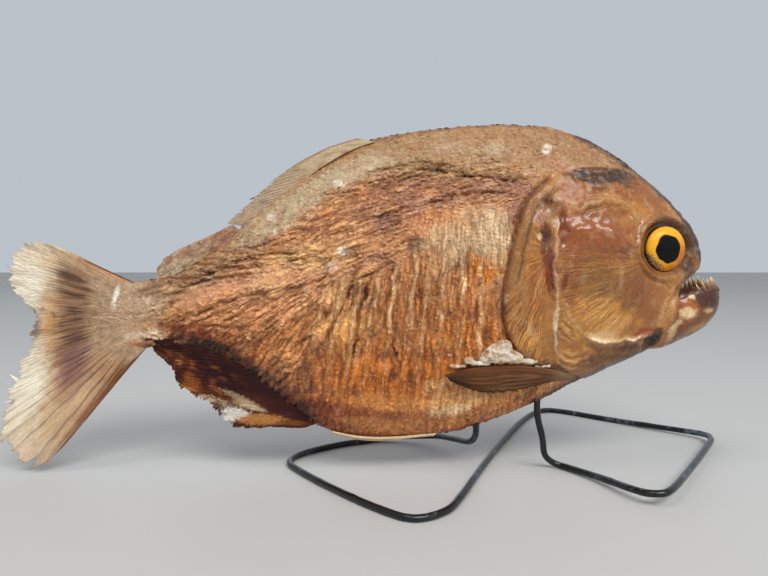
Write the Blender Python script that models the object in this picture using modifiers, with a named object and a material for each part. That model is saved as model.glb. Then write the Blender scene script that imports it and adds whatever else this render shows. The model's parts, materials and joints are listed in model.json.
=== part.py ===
"""A dried piranha as a life-size mounted specimen, head up and mouth ajar, held over the table by a
stand bent from one black wire, whose two ends go up into holes in the belly.

The fish is worked out in its own frame, in millimetres: x runs from tail to snout, y across the body
(the fish's right side is -y) with 0 at the mid-plane, and z up from the table. The empty "mount" then
carries everything to the row's frame, whose origin is the middle of the base of the bounding box.
"""

import math

import bmesh
import bpy
import numpy as np

MM = 0.001
GAP = 0.3  # clearance between neighbouring solids

# Where the fish's own origin lies in the row's frame.
ORIGIN_SHIFT_X = -0.638
ORIGIN_SHIFT_Y = -19.671

# Cross-sections of the body from the end of the tail stem to the snout.
# back x, back z, belly x, belly z, half width, keel, crest (how sharp the belly and the back are)
SECTIONS = np.array([
    (-90.5, 50.0, -90.5, 46.0, 0.8, 0.50, 0.50),
    (-89.0, 55.0, -89.0, 41.5, 1.1, 0.50, 0.50),
    (-84.0, 59.6, -84.0, 37.8, 1.9, 0.50, 0.50),
    (-75.0, 60.2, -75.0, 38.8, 3.2, 0.50, 0.50),
    (-66.0, 62.6, -66.0, 39.8, 4.4, 0.52, 0.56),
    (-56.0, 68.2, -57.0, 38.6, 5.8, 0.58, 0.64),
    (-46.0, 75.0, -47.0, 34.5, 7.5, 0.66, 0.72),
    (-37.0, 82.5, -38.0, 28.0, 9.1, 0.72, 0.76),
    (-28.0, 89.3, -29.0, 20.5, 10.6, 0.76, 0.76),
    (-18.0, 96.6, -19.5, 14.4, 12.0, 0.78, 0.76),
    (-6.0, 102.7, -9.0, 11.5, 13.2, 0.78, 0.74),
    (8.0, 105.6, 5.0, 11.3, 14.1, 0.78, 0.72),
    (22.0, 107.2, 20.0, 12.7, 14.8, 0.78, 0.70),
    (36.0, 107.9, 34.0, 16.8, 15.2, 0.76, 0.70),
    (49.0, 107.1, 47.0, 22.2, 15.3, 0.74, 0.70),
    (60.0, 104.1, 58.5, 28.2, 14.6, 0.70, 0.68),
    (69.0, 99.4, 68.0, 32.4, 13.4, 0.66, 0.66),
    (77.2, 93.3, 76.5, 36.1, 11.9, 0.62, 0.62),
    (84.2, 87.5, 82.6, 39.6, 10.4, 0.60, 0.60),
    (89.7, 81.8, 85.6, 47.0, 8.5, 0.56, 0.56),
    (93.7, 76.8, 88.4, 55.0, 6.7, 0.52, 0.52),
    (95.9, 71.6, 92.2, 60.2, 4.6, 0.50, 0.50),
    (97.1, 67.5, 95.6, 62.6, 2.6, 0.50, 0.50),
])
TAIL_END, TAIL_ROOT = 0.0, 4.0  # stations along SECTIONS
TRUNK_FRONT, HEAD_REAR, SNOUT = 18.0, 12.0, 22.0
RINGS_PER_SECTION = 2
BODY_SIDES, TAIL_SIDES = 24, 16

# The lower jaw: rim x, rim z, chin x, chin z, half width.
JAW_SECTIONS = np.array([
    (88.9, 55.6, 83.9, 39.0, 8.4),
    (92.0, 57.0, 88.5, 40.8, 8.0),
    (95.4, 57.9, 93.5, 43.0, 7.1),
    (98.4, 58.5, 97.5, 45.4, 5.9),
    (100.8, 58.6, 100.7, 48.6, 4.4),
    (102.3, 57.8, 102.4, 52.2, 2.5),
])
# Half of each section of it, from the chin up to the rim and in over the floor of the mouth: share of
# the half width, share of the height.
JAW_PROFILE = [
    (0.0, 0.0), (0.40, 0.05), (0.72, 0.19), (0.93, 0.40), (1.0, 0.62), (0.96, 0.84), (0.84, 1.0), (0.62, 0.93),
    (0.36, 0.78), (0.0, 0.72),
]

# Side-view outlines, x and z.
NAPE_LINE = [(80.0, 99.0), (76.5, 93.8), (70.0, 94.6), (60.8, 94.2), (51.7, 92.6)]
GILL_EDGE = [
    (46.6, 88.6), (41.2, 83.4), (38.0, 75.3), (36.0, 67.0), (34.6, 59.5),
    (34.3, 51.8), (35.8, 45.0), (39.6, 39.4), (45.6, 35.3), (52.6, 32.6),
]
THROAT_LINE = [(61.5, 30.6), (64.5, 22.0)]
GILL_RIDGE = [(52.2, 36.5), (50.3, 42.5), (48.5, 50.1), (47.2, 57.5), (47.1, 65.1), (48.3, 74.1), (49.3, 82.0)]
GILL_INNER_Y = 5.0  # the gill covers are the flesh outside this distance from the mid-plane
HEAD_RAISE, RAISE_FULL_X, RAISE_NONE_X = 0.9, 52.0, 78.0  # how far the covers stand proud of the shoulder

EYE_CENTRE = (81.8, 9.9, 69.7)
EYE_RADIUS, EYE_HALF_DEPTH = 6.5, 2.5
EYE_FORWARD_DEG = 15.0

# Fins in the mid-plane: the stretch of x along which each grows from the back or the belly, and the
# x and z of its rays' ends. The tail fin grows from all round the end of the tail stem.
TAIL_FIN_ROOT_X, TAIL_FIN_WARP = -74.5, 1.6
TAIL_FIN_EDGE = [
    (-90.5, 65.4), (-99.5, 70.2), (-107.7, 72.2), (-113.8, 69.6), (-116.6, 64.3), (-115.6, 59.0), (-112.4, 53.6),
    (-107.8, 49.3), (-109.2, 44.4), (-109.4, 39.6), (-112.6, 33.4), (-114.4, 27.0), (-116.2, 20.6), (-118.2, 14.0),
    (-115.4, 8.4), (-108.1, 2.5), (-101.0, 7.2), (-90.0, 20.2),
]
DORSAL_ROOT_X = (-6.0, -43.0)
DORSAL_EDGE = [(-8.0, 103.0), (-17.5, 99.8), (-28.5, 93.8), (-38.5, 86.4), (-47.8, 77.4)]
ADIPOSE_ROOT_X = (-48.0, -68.5)
ADIPOSE_EDGE = [(-49.6, 74.8), (-58.4, 71.2), (-66.2, 67.6), (-69.2, 64.4)]
ANAL_ROOT_X = (-69.0, -21.0)
ANAL_EDGE = [
    (-71.0, 38.4), (-65.6, 33.0), (-64.2, 28.6), (-57.6, 23.6), (-51.0, 19.2), (-49.0, 15.6), (-40.0, 14.4),
    (-25.0, 14.4),
]
# Paired fins: the upper and lower edge from root to tip, x and z.
PECTORAL_TOP = [(59.0, 31.6), (49.3, 34.4), (39.0, 35.8), (26.0, 35.4), (17.7, 33.3)]
PECTORAL_BOTTOM = [(57.0, 29.8), (49.6, 30.0), (39.5, 28.0), (29.1, 27.4), (19.4, 31.2)]
PECTORAL_LIFT = (-0.6, 1.7, 1.9, 2.1, 2.4)  # how far the blade stands off the flank from root to tip
PELVIC_TOP = [(7.0, 14.2), (-1.0, 14.4), (-10.0, 13.8)]
PELVIC_BOTTOM = [(6.0, 12.6), (-2.0, 12.2), (-11.0, 12.8)]
PELVIC_LIFT = (-0.5, 0.8, 1.2)
FIN_THICKNESS, FIN_EDGE_SHARE = 1.5, 0.5  # at the root, and at the rays' ends as a share of that

# Teeth, from the corner of the mouth to the front: station along the jaw or the body, height.
LOWER_TEETH = [(0.9, 2.4), (1.6, 3.2), (2.3, 3.9), (3.0, 3.8), (3.75, 3.2), (4.5, 2.8)]
LOWER_TOOTH_SEAT = 0.76  # share of the half width at which they stand on the rim
UPPER_TEETH = [(20.1, 2.2), (20.6, 2.6), (21.1, 2.8), (21.6, 2.8)]
UPPER_TOOTH_SEAT = 0.10  # share of the height at which they hang from the lip
TOOTH_WIDTH, TOOTH_DEPTH, TOOTH_SUNK = 2.0, 1.1, 1.0

WIRE_RADIUS = 1.0
WIRE_SAMPLES = 3  # points of the curve for each point of the route
HOLE_DEPTH_MARGIN = 0.6
# The wire's route from its front end in the belly, round both loops, to its rear end in the belly.
WIRE_ROUTE = [
    (47.6, 0.0, 28.0), (47.6, 0.0, 24.0), (47.8, 0.2, 18.0), (49.6, 0.9, 11.0), (51.0, 3.0, 4.8), (54.4, 4.2, 1.7),
    (57.9, 1.6, 1.2), (64.3, -8.9, 1.8), (69.2, -21.4, 3.0), (72.8, -26.0, 3.7), (78.2, -24.1, 4.0),
    (92.0, -6.9, 3.6), (111.0, 18.2, 3.0), (117.0, 27.6, 2.6), (117.4, 35.0, 2.2), (104.4, 48.1, 1.5),
    (89.9, 61.6, 1.0), (75.4, 73.4, 1.0), (66.8, 72.4, 1.0), (56.2, 57.0, 1.0), (44.6, 33.6, 1.0), (30.0, -0.1, 1.0),
    (21.8, -20.1, 1.0), (16.2, -30.6, 1.0), (7.8, -35.2, 1.0), (-0.6, -30.0, 1.0), (-13.6, -16.4, 1.0),
    (-25.6, -1.6, 1.0), (-30.6, 7.4, 1.0), (-27.6, 15.8, 1.0), (-18.8, 23.8, 1.0), (-9.0, 29.2, 1.0),
    (4.0, 32.4, 1.6), (17.6, 26.6, 3.9), (23.6, 14.0, 6.6), (27.0, 4.4, 8.6), (28.5, 0.8, 11.4), (28.7, 0.0, 15.0),
    (28.7, 0.0, 20.6),
]

COLOURS = {  # base colour, roughness, metallic
    "dried_skin": ((0.42, 0.20, 0.07), 0.45, 0.0),
    "head_skin": ((0.38, 0.17, 0.06), 0.35, 0.0),
    "dried_fin": ((0.58, 0.40, 0.22), 0.55, 0.0),
    "glass_eye": ((0.85, 0.42, 0.03), 0.08, 0.0),
    "black_wire": ((0.015, 0.017, 0.018), 0.4, 0.0),
}


def clear_scene():
    for obj in list(bpy.data.objects):
        bpy.data.objects.remove(obj, do_unlink=True)


def material(name):
    """The Principled material of that name, made the first time it is asked for."""
    found = bpy.data.materials.get(name)
    if found:
        return found
    colour, roughness, metallic = COLOURS[name]
    made = bpy.data.materials.new(name)
    made.use_nodes = True
    shader = made.node_tree.nodes["Principled BSDF"]
    shader.inputs["Base Color"].default_value = (*colour, 1.0)
    shader.inputs["Roughness"].default_value = roughness
    shader.inputs["Metallic"].default_value = metallic
    return made


def spline_at(rows, t):
    """The row at station t of a table, on a smooth curve through all of its rows."""
    rows = np.asarray(rows, float)
    last = len(rows) - 1
    i = min(int(t), last - 1)
    u = t - i
    before = rows[i - 1] if i > 0 else 2 * rows[0] - rows[1]
    after = rows[i + 2] if i + 2 <= last else 2 * rows[last] - rows[last - 1]
    start_slope = (rows[i + 1] - before) / 2
    end_slope = (after - rows[i]) / 2
    rise = rows[i + 1] - rows[i]
    return rows[i] + start_slope * u + (3 * rise - 2 * start_slope - end_slope) * u**2 \
        + (start_slope + end_slope - 2 * rise) * u**3


def smooth_line(points, count):
    """count points, evenly spaced by station, on a smooth curve through the given ones."""
    return [tuple(spline_at(points, t)) for t in np.linspace(0, len(points) - 1, count)]


def smooth_step(x, low, high):
    share = min(1.0, max(0.0, (x - low) / (high - low)))
    return share * share * (3 - 2 * share)


def width_share(s, keel, crest):
    """How wide the body is at height s (0 at the belly, 1 at the back), as a share of its widest."""
    widest = keel / (keel + crest)
    return (s / widest) ** keel * ((1 - s) / (1 - widest)) ** crest


def body_ring(t, sides, grow=0.0, raised=False):
    """One cross-section of the body, from the belly round the right side to the back and down the left."""
    back_x, back_z, belly_x, belly_z, width, keel, crest = spline_at(SECTIONS, t)
    belly, back = np.array((belly_x, belly_z)), np.array((back_x, back_z))
    up = (back - belly) / np.linalg.norm(back - belly)
    belly, back = belly - grow * up, back + grow * up
    if raised:
        width += HEAD_RAISE * (1 - smooth_step(back_x, RAISE_FULL_X, RAISE_NONE_X))
    ring = []
    for i in range(sides):
        angle = 2 * math.pi * i / sides
        s = (1 - math.cos(angle)) / 2
        x, z = belly + s * (back - belly)
        y = -math.copysign((width + grow) * width_share(s, keel, crest), math.sin(angle))
        ring.append((x, y, z))
    return ring


def body_rings(start, end, sides, **options):
    count = round((end - start) * RINGS_PER_SECTION) + 1
    return [body_ring(t, sides, **options) for t in np.linspace(start, end, count)]


def half_width_at(x, z):
    """Half the width of the trunk at a point of its side view."""
    stations = np.linspace(TAIL_END, TRUNK_FRONT, 181)
    rows = np.array([spline_at(SECTIONS, t) for t in stations])
    heights = np.clip((z - rows[:, 3]) / (rows[:, 1] - rows[:, 3]), 0.0, 1.0)
    along = rows[:, 2] + heights * (rows[:, 0] - rows[:, 2])
    t = np.interp(x, along, stations)
    back_x, back_z, belly_x, belly_z, width, keel, crest = spline_at(SECTIONS, t)
    return width * width_share(min(1.0, max(0.0, (z - belly_z) / (back_z - belly_z))), keel, crest)


def link(obj, collection, parent, material_name=None):
    collection.objects.link(obj)
    obj.parent = parent
    if material_name:
        obj.data.materials.append(material(material_name))
    return obj


def make_mesh(name, points, faces):
    """A mesh object from points in millimetres, with its faces turned outwards."""
    mesh = bpy.data.meshes.new(name)
    mesh.from_pydata([tuple(MM * c for c in p) for p in points], [], faces)
    shape = bmesh.new()
    shape.from_mesh(mesh)
    bmesh.ops.recalc_face_normals(shape, faces=shape.faces)
    shape.to_mesh(mesh)
    shape.free()
    mesh.shade_smooth()
    mesh.set_sharp_from_angle(angle=math.radians(40))
    return bpy.data.objects.new(name, mesh)


def loft(name, rings):
    """A closed skin over rings of points, with flat ends."""
    count = len(rings[0])
    points = [p for ring in rings for p in ring]
    faces = []
    for r in range(len(rings) - 1):
        for i in range(count):
            here, there = r * count, (r + 1) * count
            faces.append((here + i, here + (i + 1) % count, there + (i + 1) % count, there + i))
    faces.append(tuple(range(count)))
    faces.append(tuple((len(rings) - 1) * count + i for i in range(count)))
    return make_mesh(name, points, faces)


def grown_outline(outline, margin):
    """A closed outline moved outwards by a margin."""
    points = np.array(outline, float)
    following = np.roll(points, -1, axis=0)
    area = np.sum(points[:, 0] * following[:, 1] - following[:, 0] * points[:, 1]) / 2
    edges = following - points
    normals = np.column_stack((edges[:, 1], -edges[:, 0])) * math.copysign(1, area)
    normals /= np.linalg.norm(normals, axis=1)[:, None]
    corners = normals + np.roll(normals, 1, axis=0)
    corners /= np.linalg.norm(corners, axis=1)[:, None]
    return [tuple(p) for p in points + margin * corners]


def clear_profile():
    """The back and the belly in side view, both from tail to snout and clear of the skin by the gap."""
    rows = [spline_at(SECTIONS, t) for t in np.linspace(TAIL_END, SNOUT, 60)]
    around = [(row[0], row[1]) for row in rows] + [(row[2], row[3]) for row in reversed(rows)]
    grown = grown_outline(around, GAP)
    return np.array(grown[:60]), np.array(grown[:59:-1])


def root_on(profile, start_x, end_x):
    """Points along the back or the belly from one x to another."""
    return [(x, np.interp(x, profile[:, 0], profile[:, 1])) for x in np.linspace(start_x, end_x, 9)]


def prism(name, outline, y_low, y_high):
    """A cutter: a side-view outline drawn as a flat curve and extruded across the body."""
    curve = bpy.data.curves.new(name, "CURVE")
    curve.dimensions = "2D"
    curve.fill_mode = "BOTH"
    curve.extrude = (y_high - y_low) / 2 * MM
    spline = curve.splines.new("POLY")
    spline.points.add(len(outline) - 1)
    spline.use_cyclic_u = True
    for point, (x, z) in zip(spline.points, outline):
        point.co = (x * MM, z * MM, 0, 1)
    drawn = bpy.data.objects.new(name + "_curve", curve)
    bpy.context.scene.collection.objects.link(drawn)
    drawn.rotation_euler = (math.pi / 2, 0, 0)
    drawn.location = (0, (y_low + y_high) / 2 * MM, 0)
    bpy.context.view_layer.update()
    graph = bpy.context.evaluated_depsgraph_get()
    mesh = bpy.data.meshes.new_from_object(drawn.evaluated_get(graph))
    mesh.transform(drawn.matrix_world)
    bpy.data.objects.remove(drawn)
    shape = bmesh.new()
    shape.from_mesh(mesh)
    bmesh.ops.remove_doubles(shape, verts=shape.verts, dist=0.00001)
    bmesh.ops.recalc_face_normals(shape, faces=shape.faces)
    shape.to_mesh(mesh)
    shape.free()
    return bpy.data.objects.new(name, mesh)


def as_cutter(obj, cutters, parent):
    link(obj, cutters, parent)
    obj.hide_render = True
    obj.display_type = "WIRE"
    return obj


def combine(obj, other, operation):
    """A live Boolean of obj with another object."""
    modifier = obj.modifiers.new(f"{operation.lower()}_{other.name}", "BOOLEAN")
    modifier.operation = operation
    modifier.object = other
    modifier.solver = "EXACT"


def ellipsoid(name, margin, side):
    """The glass eye, or its socket when it has a margin. side is -1 for the fish's right."""
    mesh = bpy.data.meshes.new(name)
    shape = bmesh.new()
    bmesh.ops.create_uvsphere(shape, u_segments=20, v_segments=10, radius=1.0)
    shape.to_mesh(mesh)
    shape.free()
    radius, depth = (EYE_RADIUS + margin) * MM, (EYE_HALF_DEPTH + margin) * MM
    for vertex in mesh.vertices:
        vertex.co = (vertex.co.x * radius, vertex.co.y * radius, vertex.co.z * depth)
    mesh.shade_smooth()
    obj = bpy.data.objects.new(name, mesh)
    x, y, z = EYE_CENTRE
    obj.location = (x * MM, side * y * MM, z * MM)
    obj.rotation_euler = (-side * math.pi / 2, 0, -side * math.radians(EYE_FORWARD_DEG))
    return obj


def head_outline():
    """The head's side view: the nape, the rear edge of the gill cover and the throat, then round the front."""
    rear = smooth_line(NAPE_LINE + GILL_EDGE + THROAT_LINE, 40)
    return rear + [(120.0, 22.0), (120.0, 120.0), (85.0, 120.0)]


def gill_outline():
    return smooth_line(GILL_EDGE, 19) + smooth_line(GILL_RIDGE, 9)


def lower_seat(t):
    """Where a lower tooth stands on the rim of the jaw."""
    rim_x, rim_z, _, _, width = spline_at(JAW_SECTIONS, t)
    return rim_x, LOWER_TOOTH_SEAT * width, rim_z


def upper_seat(t):
    """Where an upper tooth hangs from the lip."""
    back_x, back_z, belly_x, belly_z, width, keel, crest = spline_at(SECTIONS, t)
    s = UPPER_TOOTH_SEAT
    return belly_x + s * (back_x - belly_x), width * width_share(s, keel, crest), belly_z + s * (back_z - belly_z)


def teeth(name, rows, seat, direction):
    """Flat pointed teeth on both sides of the mouth as one mesh, sunk a little into the bone.

    Each stands square to the curve of the jaw; direction is 1 for teeth that point up, -1 for down.
    """
    points, faces = [], []
    for t, height in rows:
        x, y, z = seat(t)
        next_x, next_y, _ = seat(t + 0.2)
        heading = math.atan2(next_y - y, next_x - x)
        for side in (-1, 1):
            along = np.array((math.cos(heading), side * math.sin(heading), 0)) * TOOTH_WIDTH / 2
            across = np.array((-math.sin(heading), side * math.cos(heading), 0)) * TOOTH_DEPTH / 2
            base = np.array((x, side * y, z - direction * TOOTH_SUNK))
            tip = np.array((x - 0.4, side * y, z + direction * height))
            first = len(points)
            points += [base + along, base + across, base - along, base - across, tip]
            for corners in ((0, 1, 2, 3), (0, 1, 4), (1, 2, 4), (2, 3, 4), (3, 0, 4)):
                faces.append(tuple(first + corner for corner in corners))
    return make_mesh(name, points, faces)


def jaw_ring(t):
    """One cross-section of the lower jaw, from the chin round the right side and back."""
    rim_x, rim_z, chin_x, chin_z, width = spline_at(JAW_SECTIONS, t)
    left = [(share, s) for share, s in JAW_PROFILE[1:-1]]
    halves = [(-share, s) for share, s in JAW_PROFILE] + left[::-1]
    return [(chin_x + s * (rim_x - chin_x), share * width, chin_z + s * (rim_z - chin_z)) for share, s in halves]


def blade(name, root, edge, rays, rows, side_of=None, warp=0.0, thickness=FIN_THICKNESS):
    """A fin: an open sheet from its root line to its rays' ends, thickened and thinner at the edge.

    side_of gives y at a point of the side view and a share of the way from the first ray to the last.
    Without it the fin grows in the mid-plane, and warp is how far its rays' ends have dried out of it.
    """
    roots, edges = smooth_line(root, rays), smooth_line(edge, rays)
    points, faces = [], []
    for i in range(rays):
        along = i / (rays - 1)
        for j in range(rows + 1):
            share = j / rows
            x, z = np.array(roots[i]) * (1 - share) + np.array(edges[i]) * share
            y = side_of(x, z, along) if side_of else warp * share**2 * math.sin(2 * math.pi * along)
            points.append((x, y, z))
    for i in range(rays - 1):
        for j in range(rows):
            here = i * (rows + 1) + j
            faces.append((here, here + 1, here + rows + 2, here + rows + 1))
    obj = make_mesh(name, points, faces)
    group = obj.vertex_groups.new(name="thick")
    for index in range(len(points)):
        share = (index % (rows + 1)) / rows
        group.add([index], 1 - share if not side_of else 1 - 0.6 * share, "REPLACE")
    solid = obj.modifiers.new("thickness", "SOLIDIFY")
    solid.thickness = thickness * MM
    solid.offset = 0.0
    solid.vertex_group = "thick"
    solid.thickness_vertex_group = FIN_EDGE_SHARE
    return obj


def flank_sheet(side, lifts):
    """y for a paired fin, which lies along the flank and stands off it by the given lifts."""
    def y_at(x, z, along):
        lift = float(spline_at(np.array(lifts)[:, None], along * (len(lifts) - 1))[0])
        return side * (half_width_at(x, z) + lift)
    return y_at


def wire(name):
    """The stand: one round wire along its route."""
    count = (len(WIRE_ROUTE) - 1) * WIRE_SAMPLES + 1
    curve = bpy.data.curves.new(name, "CURVE")
    curve.dimensions = "3D"
    curve.bevel_depth = WIRE_RADIUS * MM
    curve.bevel_resolution = 2
    curve.use_fill_caps = True
    spline = curve.splines.new("POLY")
    spline.points.add(count - 1)
    for point, (x, y, z) in zip(spline.points, smooth_line(WIRE_ROUTE, count)):
        point.co = (x * MM, y * MM, max(z, WIRE_RADIUS) * MM, 1)
    return bpy.data.objects.new(name, curve)


def wire_hole(name, end):
    """A round cutter for the blind hole that one end of the wire is pushed into."""
    x, y, top = end
    bottom = top - 22.0
    mesh = bpy.data.meshes.new(name)
    shape = bmesh.new()
    bmesh.ops.create_cone(
        shape, cap_ends=True, segments=12, radius1=(WIRE_RADIUS + GAP + 0.1) * MM,
        radius2=(WIRE_RADIUS + GAP + 0.1) * MM, depth=(top + HOLE_DEPTH_MARGIN - bottom) * MM,
    )
    shape.to_mesh(mesh)
    shape.free()
    obj = bpy.data.objects.new(name, mesh)
    obj.location = (x * MM, y * MM, (top + HOLE_DEPTH_MARGIN + bottom) / 2 * MM)
    return obj


def build():
    clear_scene()
    parts = bpy.data.collections.new("mounted_piranha")
    cutters = bpy.data.collections.new("cutters")
    bpy.context.scene.collection.children.link(parts)
    bpy.context.scene.collection.children.link(cutters)
    mount = bpy.data.objects.new("mount", None)
    parts.objects.link(mount)
    mount.location = (ORIGIN_SHIFT_X * MM, ORIGIN_SHIFT_Y * MM, 0)

    head_prism = as_cutter(prism("head_prism", head_outline(), -30, 30), cutters, mount)
    head_clear = as_cutter(prism("head_clearance", grown_outline(head_outline(), GAP), -30, 30), cutters, mount)
    flank_clear = as_cutter(
        loft("flank_clearance", body_rings(TAIL_END, SNOUT, BODY_SIDES, grow=GAP, raised=True)), cutters, mount)

    tail_stem = loft("tail_stem", body_rings(TAIL_END, TAIL_ROOT, TAIL_SIDES))
    link(tail_stem, parts, mount, "dried_skin")

    trunk_start = TAIL_ROOT + GAP / (SECTIONS[int(TAIL_ROOT) + 1][0] - SECTIONS[int(TAIL_ROOT)][0])
    trunk = link(loft("trunk", body_rings(trunk_start, TRUNK_FRONT, BODY_SIDES)), parts, mount, "dried_skin")
    combine(trunk, head_clear, "DIFFERENCE")
    for name, end in (("front_hole", WIRE_ROUTE[0]), ("rear_hole", WIRE_ROUTE[-1])):
        combine(trunk, as_cutter(wire_hole(name, end), cutters, mount), "DIFFERENCE")

    head = link(loft("head", body_rings(HEAD_REAR, SNOUT, BODY_SIDES)), parts, mount, "head_skin")
    combine(head, head_prism, "INTERSECT")
    for side, word in ((-1, "right"), (1, "left")):
        near, far = sorted((side * GILL_INNER_Y, side * 30.0))
        gill_prism = as_cutter(prism(f"gill_prism_{word}", gill_outline(), near, far), cutters, mount)
        near, far = sorted((side * (GILL_INNER_Y - GAP), side * 31.0))
        gill_clear = as_cutter(
            prism(f"gill_clearance_{word}", grown_outline(gill_outline(), GAP), near, far), cutters, mount)
        combine(head, gill_clear, "DIFFERENCE")
        cover = loft(f"gill_cover_{word}", body_rings(HEAD_REAR, HEAD_REAR + 6, BODY_SIDES, raised=True))
        link(cover, parts, mount, "head_skin")
        combine(cover, gill_prism, "INTERSECT")
        combine(head, as_cutter(ellipsoid(f"socket_{word}", GAP, side), cutters, mount), "DIFFERENCE")
        link(ellipsoid(f"eye_{word}", 0.0, side), parts, mount, "glass_eye")
    combine(head, as_cutter(teeth("upper_teeth", UPPER_TEETH, upper_seat, -1), cutters, mount), "UNION")

    jaw_count = 2 * (len(JAW_SECTIONS) - 1) + 1
    jaw = loft("lower_jaw", [jaw_ring(t) for t in np.linspace(0, len(JAW_SECTIONS) - 1, jaw_count)])
    link(jaw, parts, mount, "head_skin")
    combine(jaw, as_cutter(teeth("lower_teeth", LOWER_TEETH, lower_seat, 1), cutters, mount), "UNION")

    back, belly = clear_profile()
    tail_root = root_on(back, TAIL_FIN_ROOT_X, back[0][0]) + root_on(belly, belly[0][0], TAIL_FIN_ROOT_X)
    for name, root, edge, rays, rows, warp in (
        ("tail_fin", tail_root, TAIL_FIN_EDGE, 35, 4, TAIL_FIN_WARP),
        ("dorsal_fin", root_on(back, *DORSAL_ROOT_X), DORSAL_EDGE, 15, 1, 0.0),
        ("adipose_fin", root_on(back, *ADIPOSE_ROOT_X), ADIPOSE_EDGE, 9, 1, 0.0),
        ("anal_fin", root_on(belly, *ANAL_ROOT_X), ANAL_EDGE, 25, 3, 0.0),
    ):
        link(blade(name, root, edge, rays, rows, warp=warp), parts, mount, "dried_fin")
    for side, word in ((-1, "right"), (1, "left")):
        for name, top, bottom, lifts in (
            ("pectoral_fin", PECTORAL_TOP, PECTORAL_BOTTOM, PECTORAL_LIFT),
            ("pelvic_fin", PELVIC_TOP, PELVIC_BOTTOM, PELVIC_LIFT),
        ):
            sheet = flank_sheet(side, lifts)
            fin = blade(f"{name}_{word}", top, bottom, 2 * len(top) + 1, 4, side_of=sheet, thickness=1.0)
            link(fin, parts, mount, "dried_fin")
            combine(fin, flank_clear, "DIFFERENCE")

    link(wire("wire_stand"), parts, mount, "black_wire")


build()
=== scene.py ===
import json
import math
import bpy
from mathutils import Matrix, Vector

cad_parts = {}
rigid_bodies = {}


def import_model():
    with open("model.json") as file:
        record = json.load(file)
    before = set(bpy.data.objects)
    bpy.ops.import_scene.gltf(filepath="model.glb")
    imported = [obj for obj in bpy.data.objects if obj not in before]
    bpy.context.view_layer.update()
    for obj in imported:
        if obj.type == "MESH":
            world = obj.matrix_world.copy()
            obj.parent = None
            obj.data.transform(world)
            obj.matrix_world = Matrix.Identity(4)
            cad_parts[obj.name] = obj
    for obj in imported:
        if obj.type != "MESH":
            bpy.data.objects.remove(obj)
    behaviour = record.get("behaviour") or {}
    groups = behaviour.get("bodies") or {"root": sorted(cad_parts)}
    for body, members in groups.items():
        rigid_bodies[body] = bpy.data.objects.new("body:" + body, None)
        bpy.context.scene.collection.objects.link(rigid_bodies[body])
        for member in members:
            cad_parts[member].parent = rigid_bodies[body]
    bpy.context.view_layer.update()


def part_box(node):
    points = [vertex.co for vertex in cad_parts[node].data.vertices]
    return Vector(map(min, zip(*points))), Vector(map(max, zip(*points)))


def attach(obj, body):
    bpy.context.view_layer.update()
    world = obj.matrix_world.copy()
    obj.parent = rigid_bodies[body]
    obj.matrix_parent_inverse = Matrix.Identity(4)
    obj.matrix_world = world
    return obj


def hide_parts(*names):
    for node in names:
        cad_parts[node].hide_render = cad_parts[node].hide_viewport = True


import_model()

from types import SimpleNamespace

import bmesh
import bpy
import numpy as np
from mathutils import Vector
from mathutils.bvhtree import BVHTree

# A dried and varnished piranha on a stand bent from one black wire.
# All tables are in millimetres in the fish's own frame: x from tail to snout, z up from the table and
# y across it, with 0 at the mid-plane and the right side towards -y.

fishEyes = {"x": 81.8, "y": 9.9, "z": 69.7, "radius": 6.5, "halfDepth": 2.5, "forwardDeg": 15.0}
eyeBoxes = [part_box("eye_right"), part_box("eye_left")]
eyeMiddle = sum(((low + high) / 2 for low, high in eyeBoxes), Vector()) / 2
sides = ((-1, "right"), (1, "left"))
fishShift = np.array((eyeMiddle.x * 1000 - fishEyes["x"], eyeMiddle.y * 1000, 0.0))  # to the row's frame


def toFrame(points):
    # from the fish's millimetres to the row's metres
    return (np.asarray(points, float) + fishShift) / 1000


def toFish(points):
    return np.asarray(points, float) * 1000 - fishShift


def say(text):
    print("piranha:", text, flush=True)


def splineAt(rows, t):
    # the row at station t of a table, on a smooth curve through all of its rows
    rows = np.asarray(rows, float)
    last = len(rows) - 1
    i = min(int(t), last - 1)
    u = t - i
    before = rows[i - 1] if i > 0 else 2 * rows[0] - rows[1]
    after = rows[i + 2] if i + 2 <= last else 2 * rows[last] - rows[last - 1]
    startSlope, endSlope = (rows[i + 1] - before) / 2, (after - rows[i]) / 2
    rise = rows[i + 1] - rows[i]
    return rows[i] + startSlope * u + (3 * rise - 2 * startSlope - endSlope) * u**2 \
        + (startSlope + endSlope - 2 * rise) * u**3


def smoothLine(points, count):
    return np.array([splineAt(points, t) for t in np.linspace(0, len(points) - 1, count)])


def rowsAt(places, stations, rows):
    # each column of a table, read off between its stations
    return np.column_stack([np.interp(places, stations, rows[:, k]) for k in range(rows.shape[1])])


def smoothStep(x, low, high):
    share = np.clip((x - low) / (high - low), 0.0, 1.0)
    return share * share * (3 - 2 * share)


def fall(x, low, high):
    return 1 - smoothStep(x, low, high)


def bell(distance, width):
    return np.exp(-(distance / width) ** 2)


def window(value, low, high, soft):
    return smoothStep(value, low - soft, low + soft) * fall(value, high - soft, high + soft)


def hashed(i, j, seed):
    # a repeatable number from 0 to 1 for each cell of a lattice
    h = (i * 374761393 + j * 668265263 + seed * 974634541) & 0xffffffff
    h = ((h ^ (h >> 13)) * 1274126177) & 0xffffffff
    h = ((h ^ (h >> 15)) * 747796405) & 0xffffffff
    return ((h ^ (h >> 16)) & 0xffffff) / 16777215.0


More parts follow.
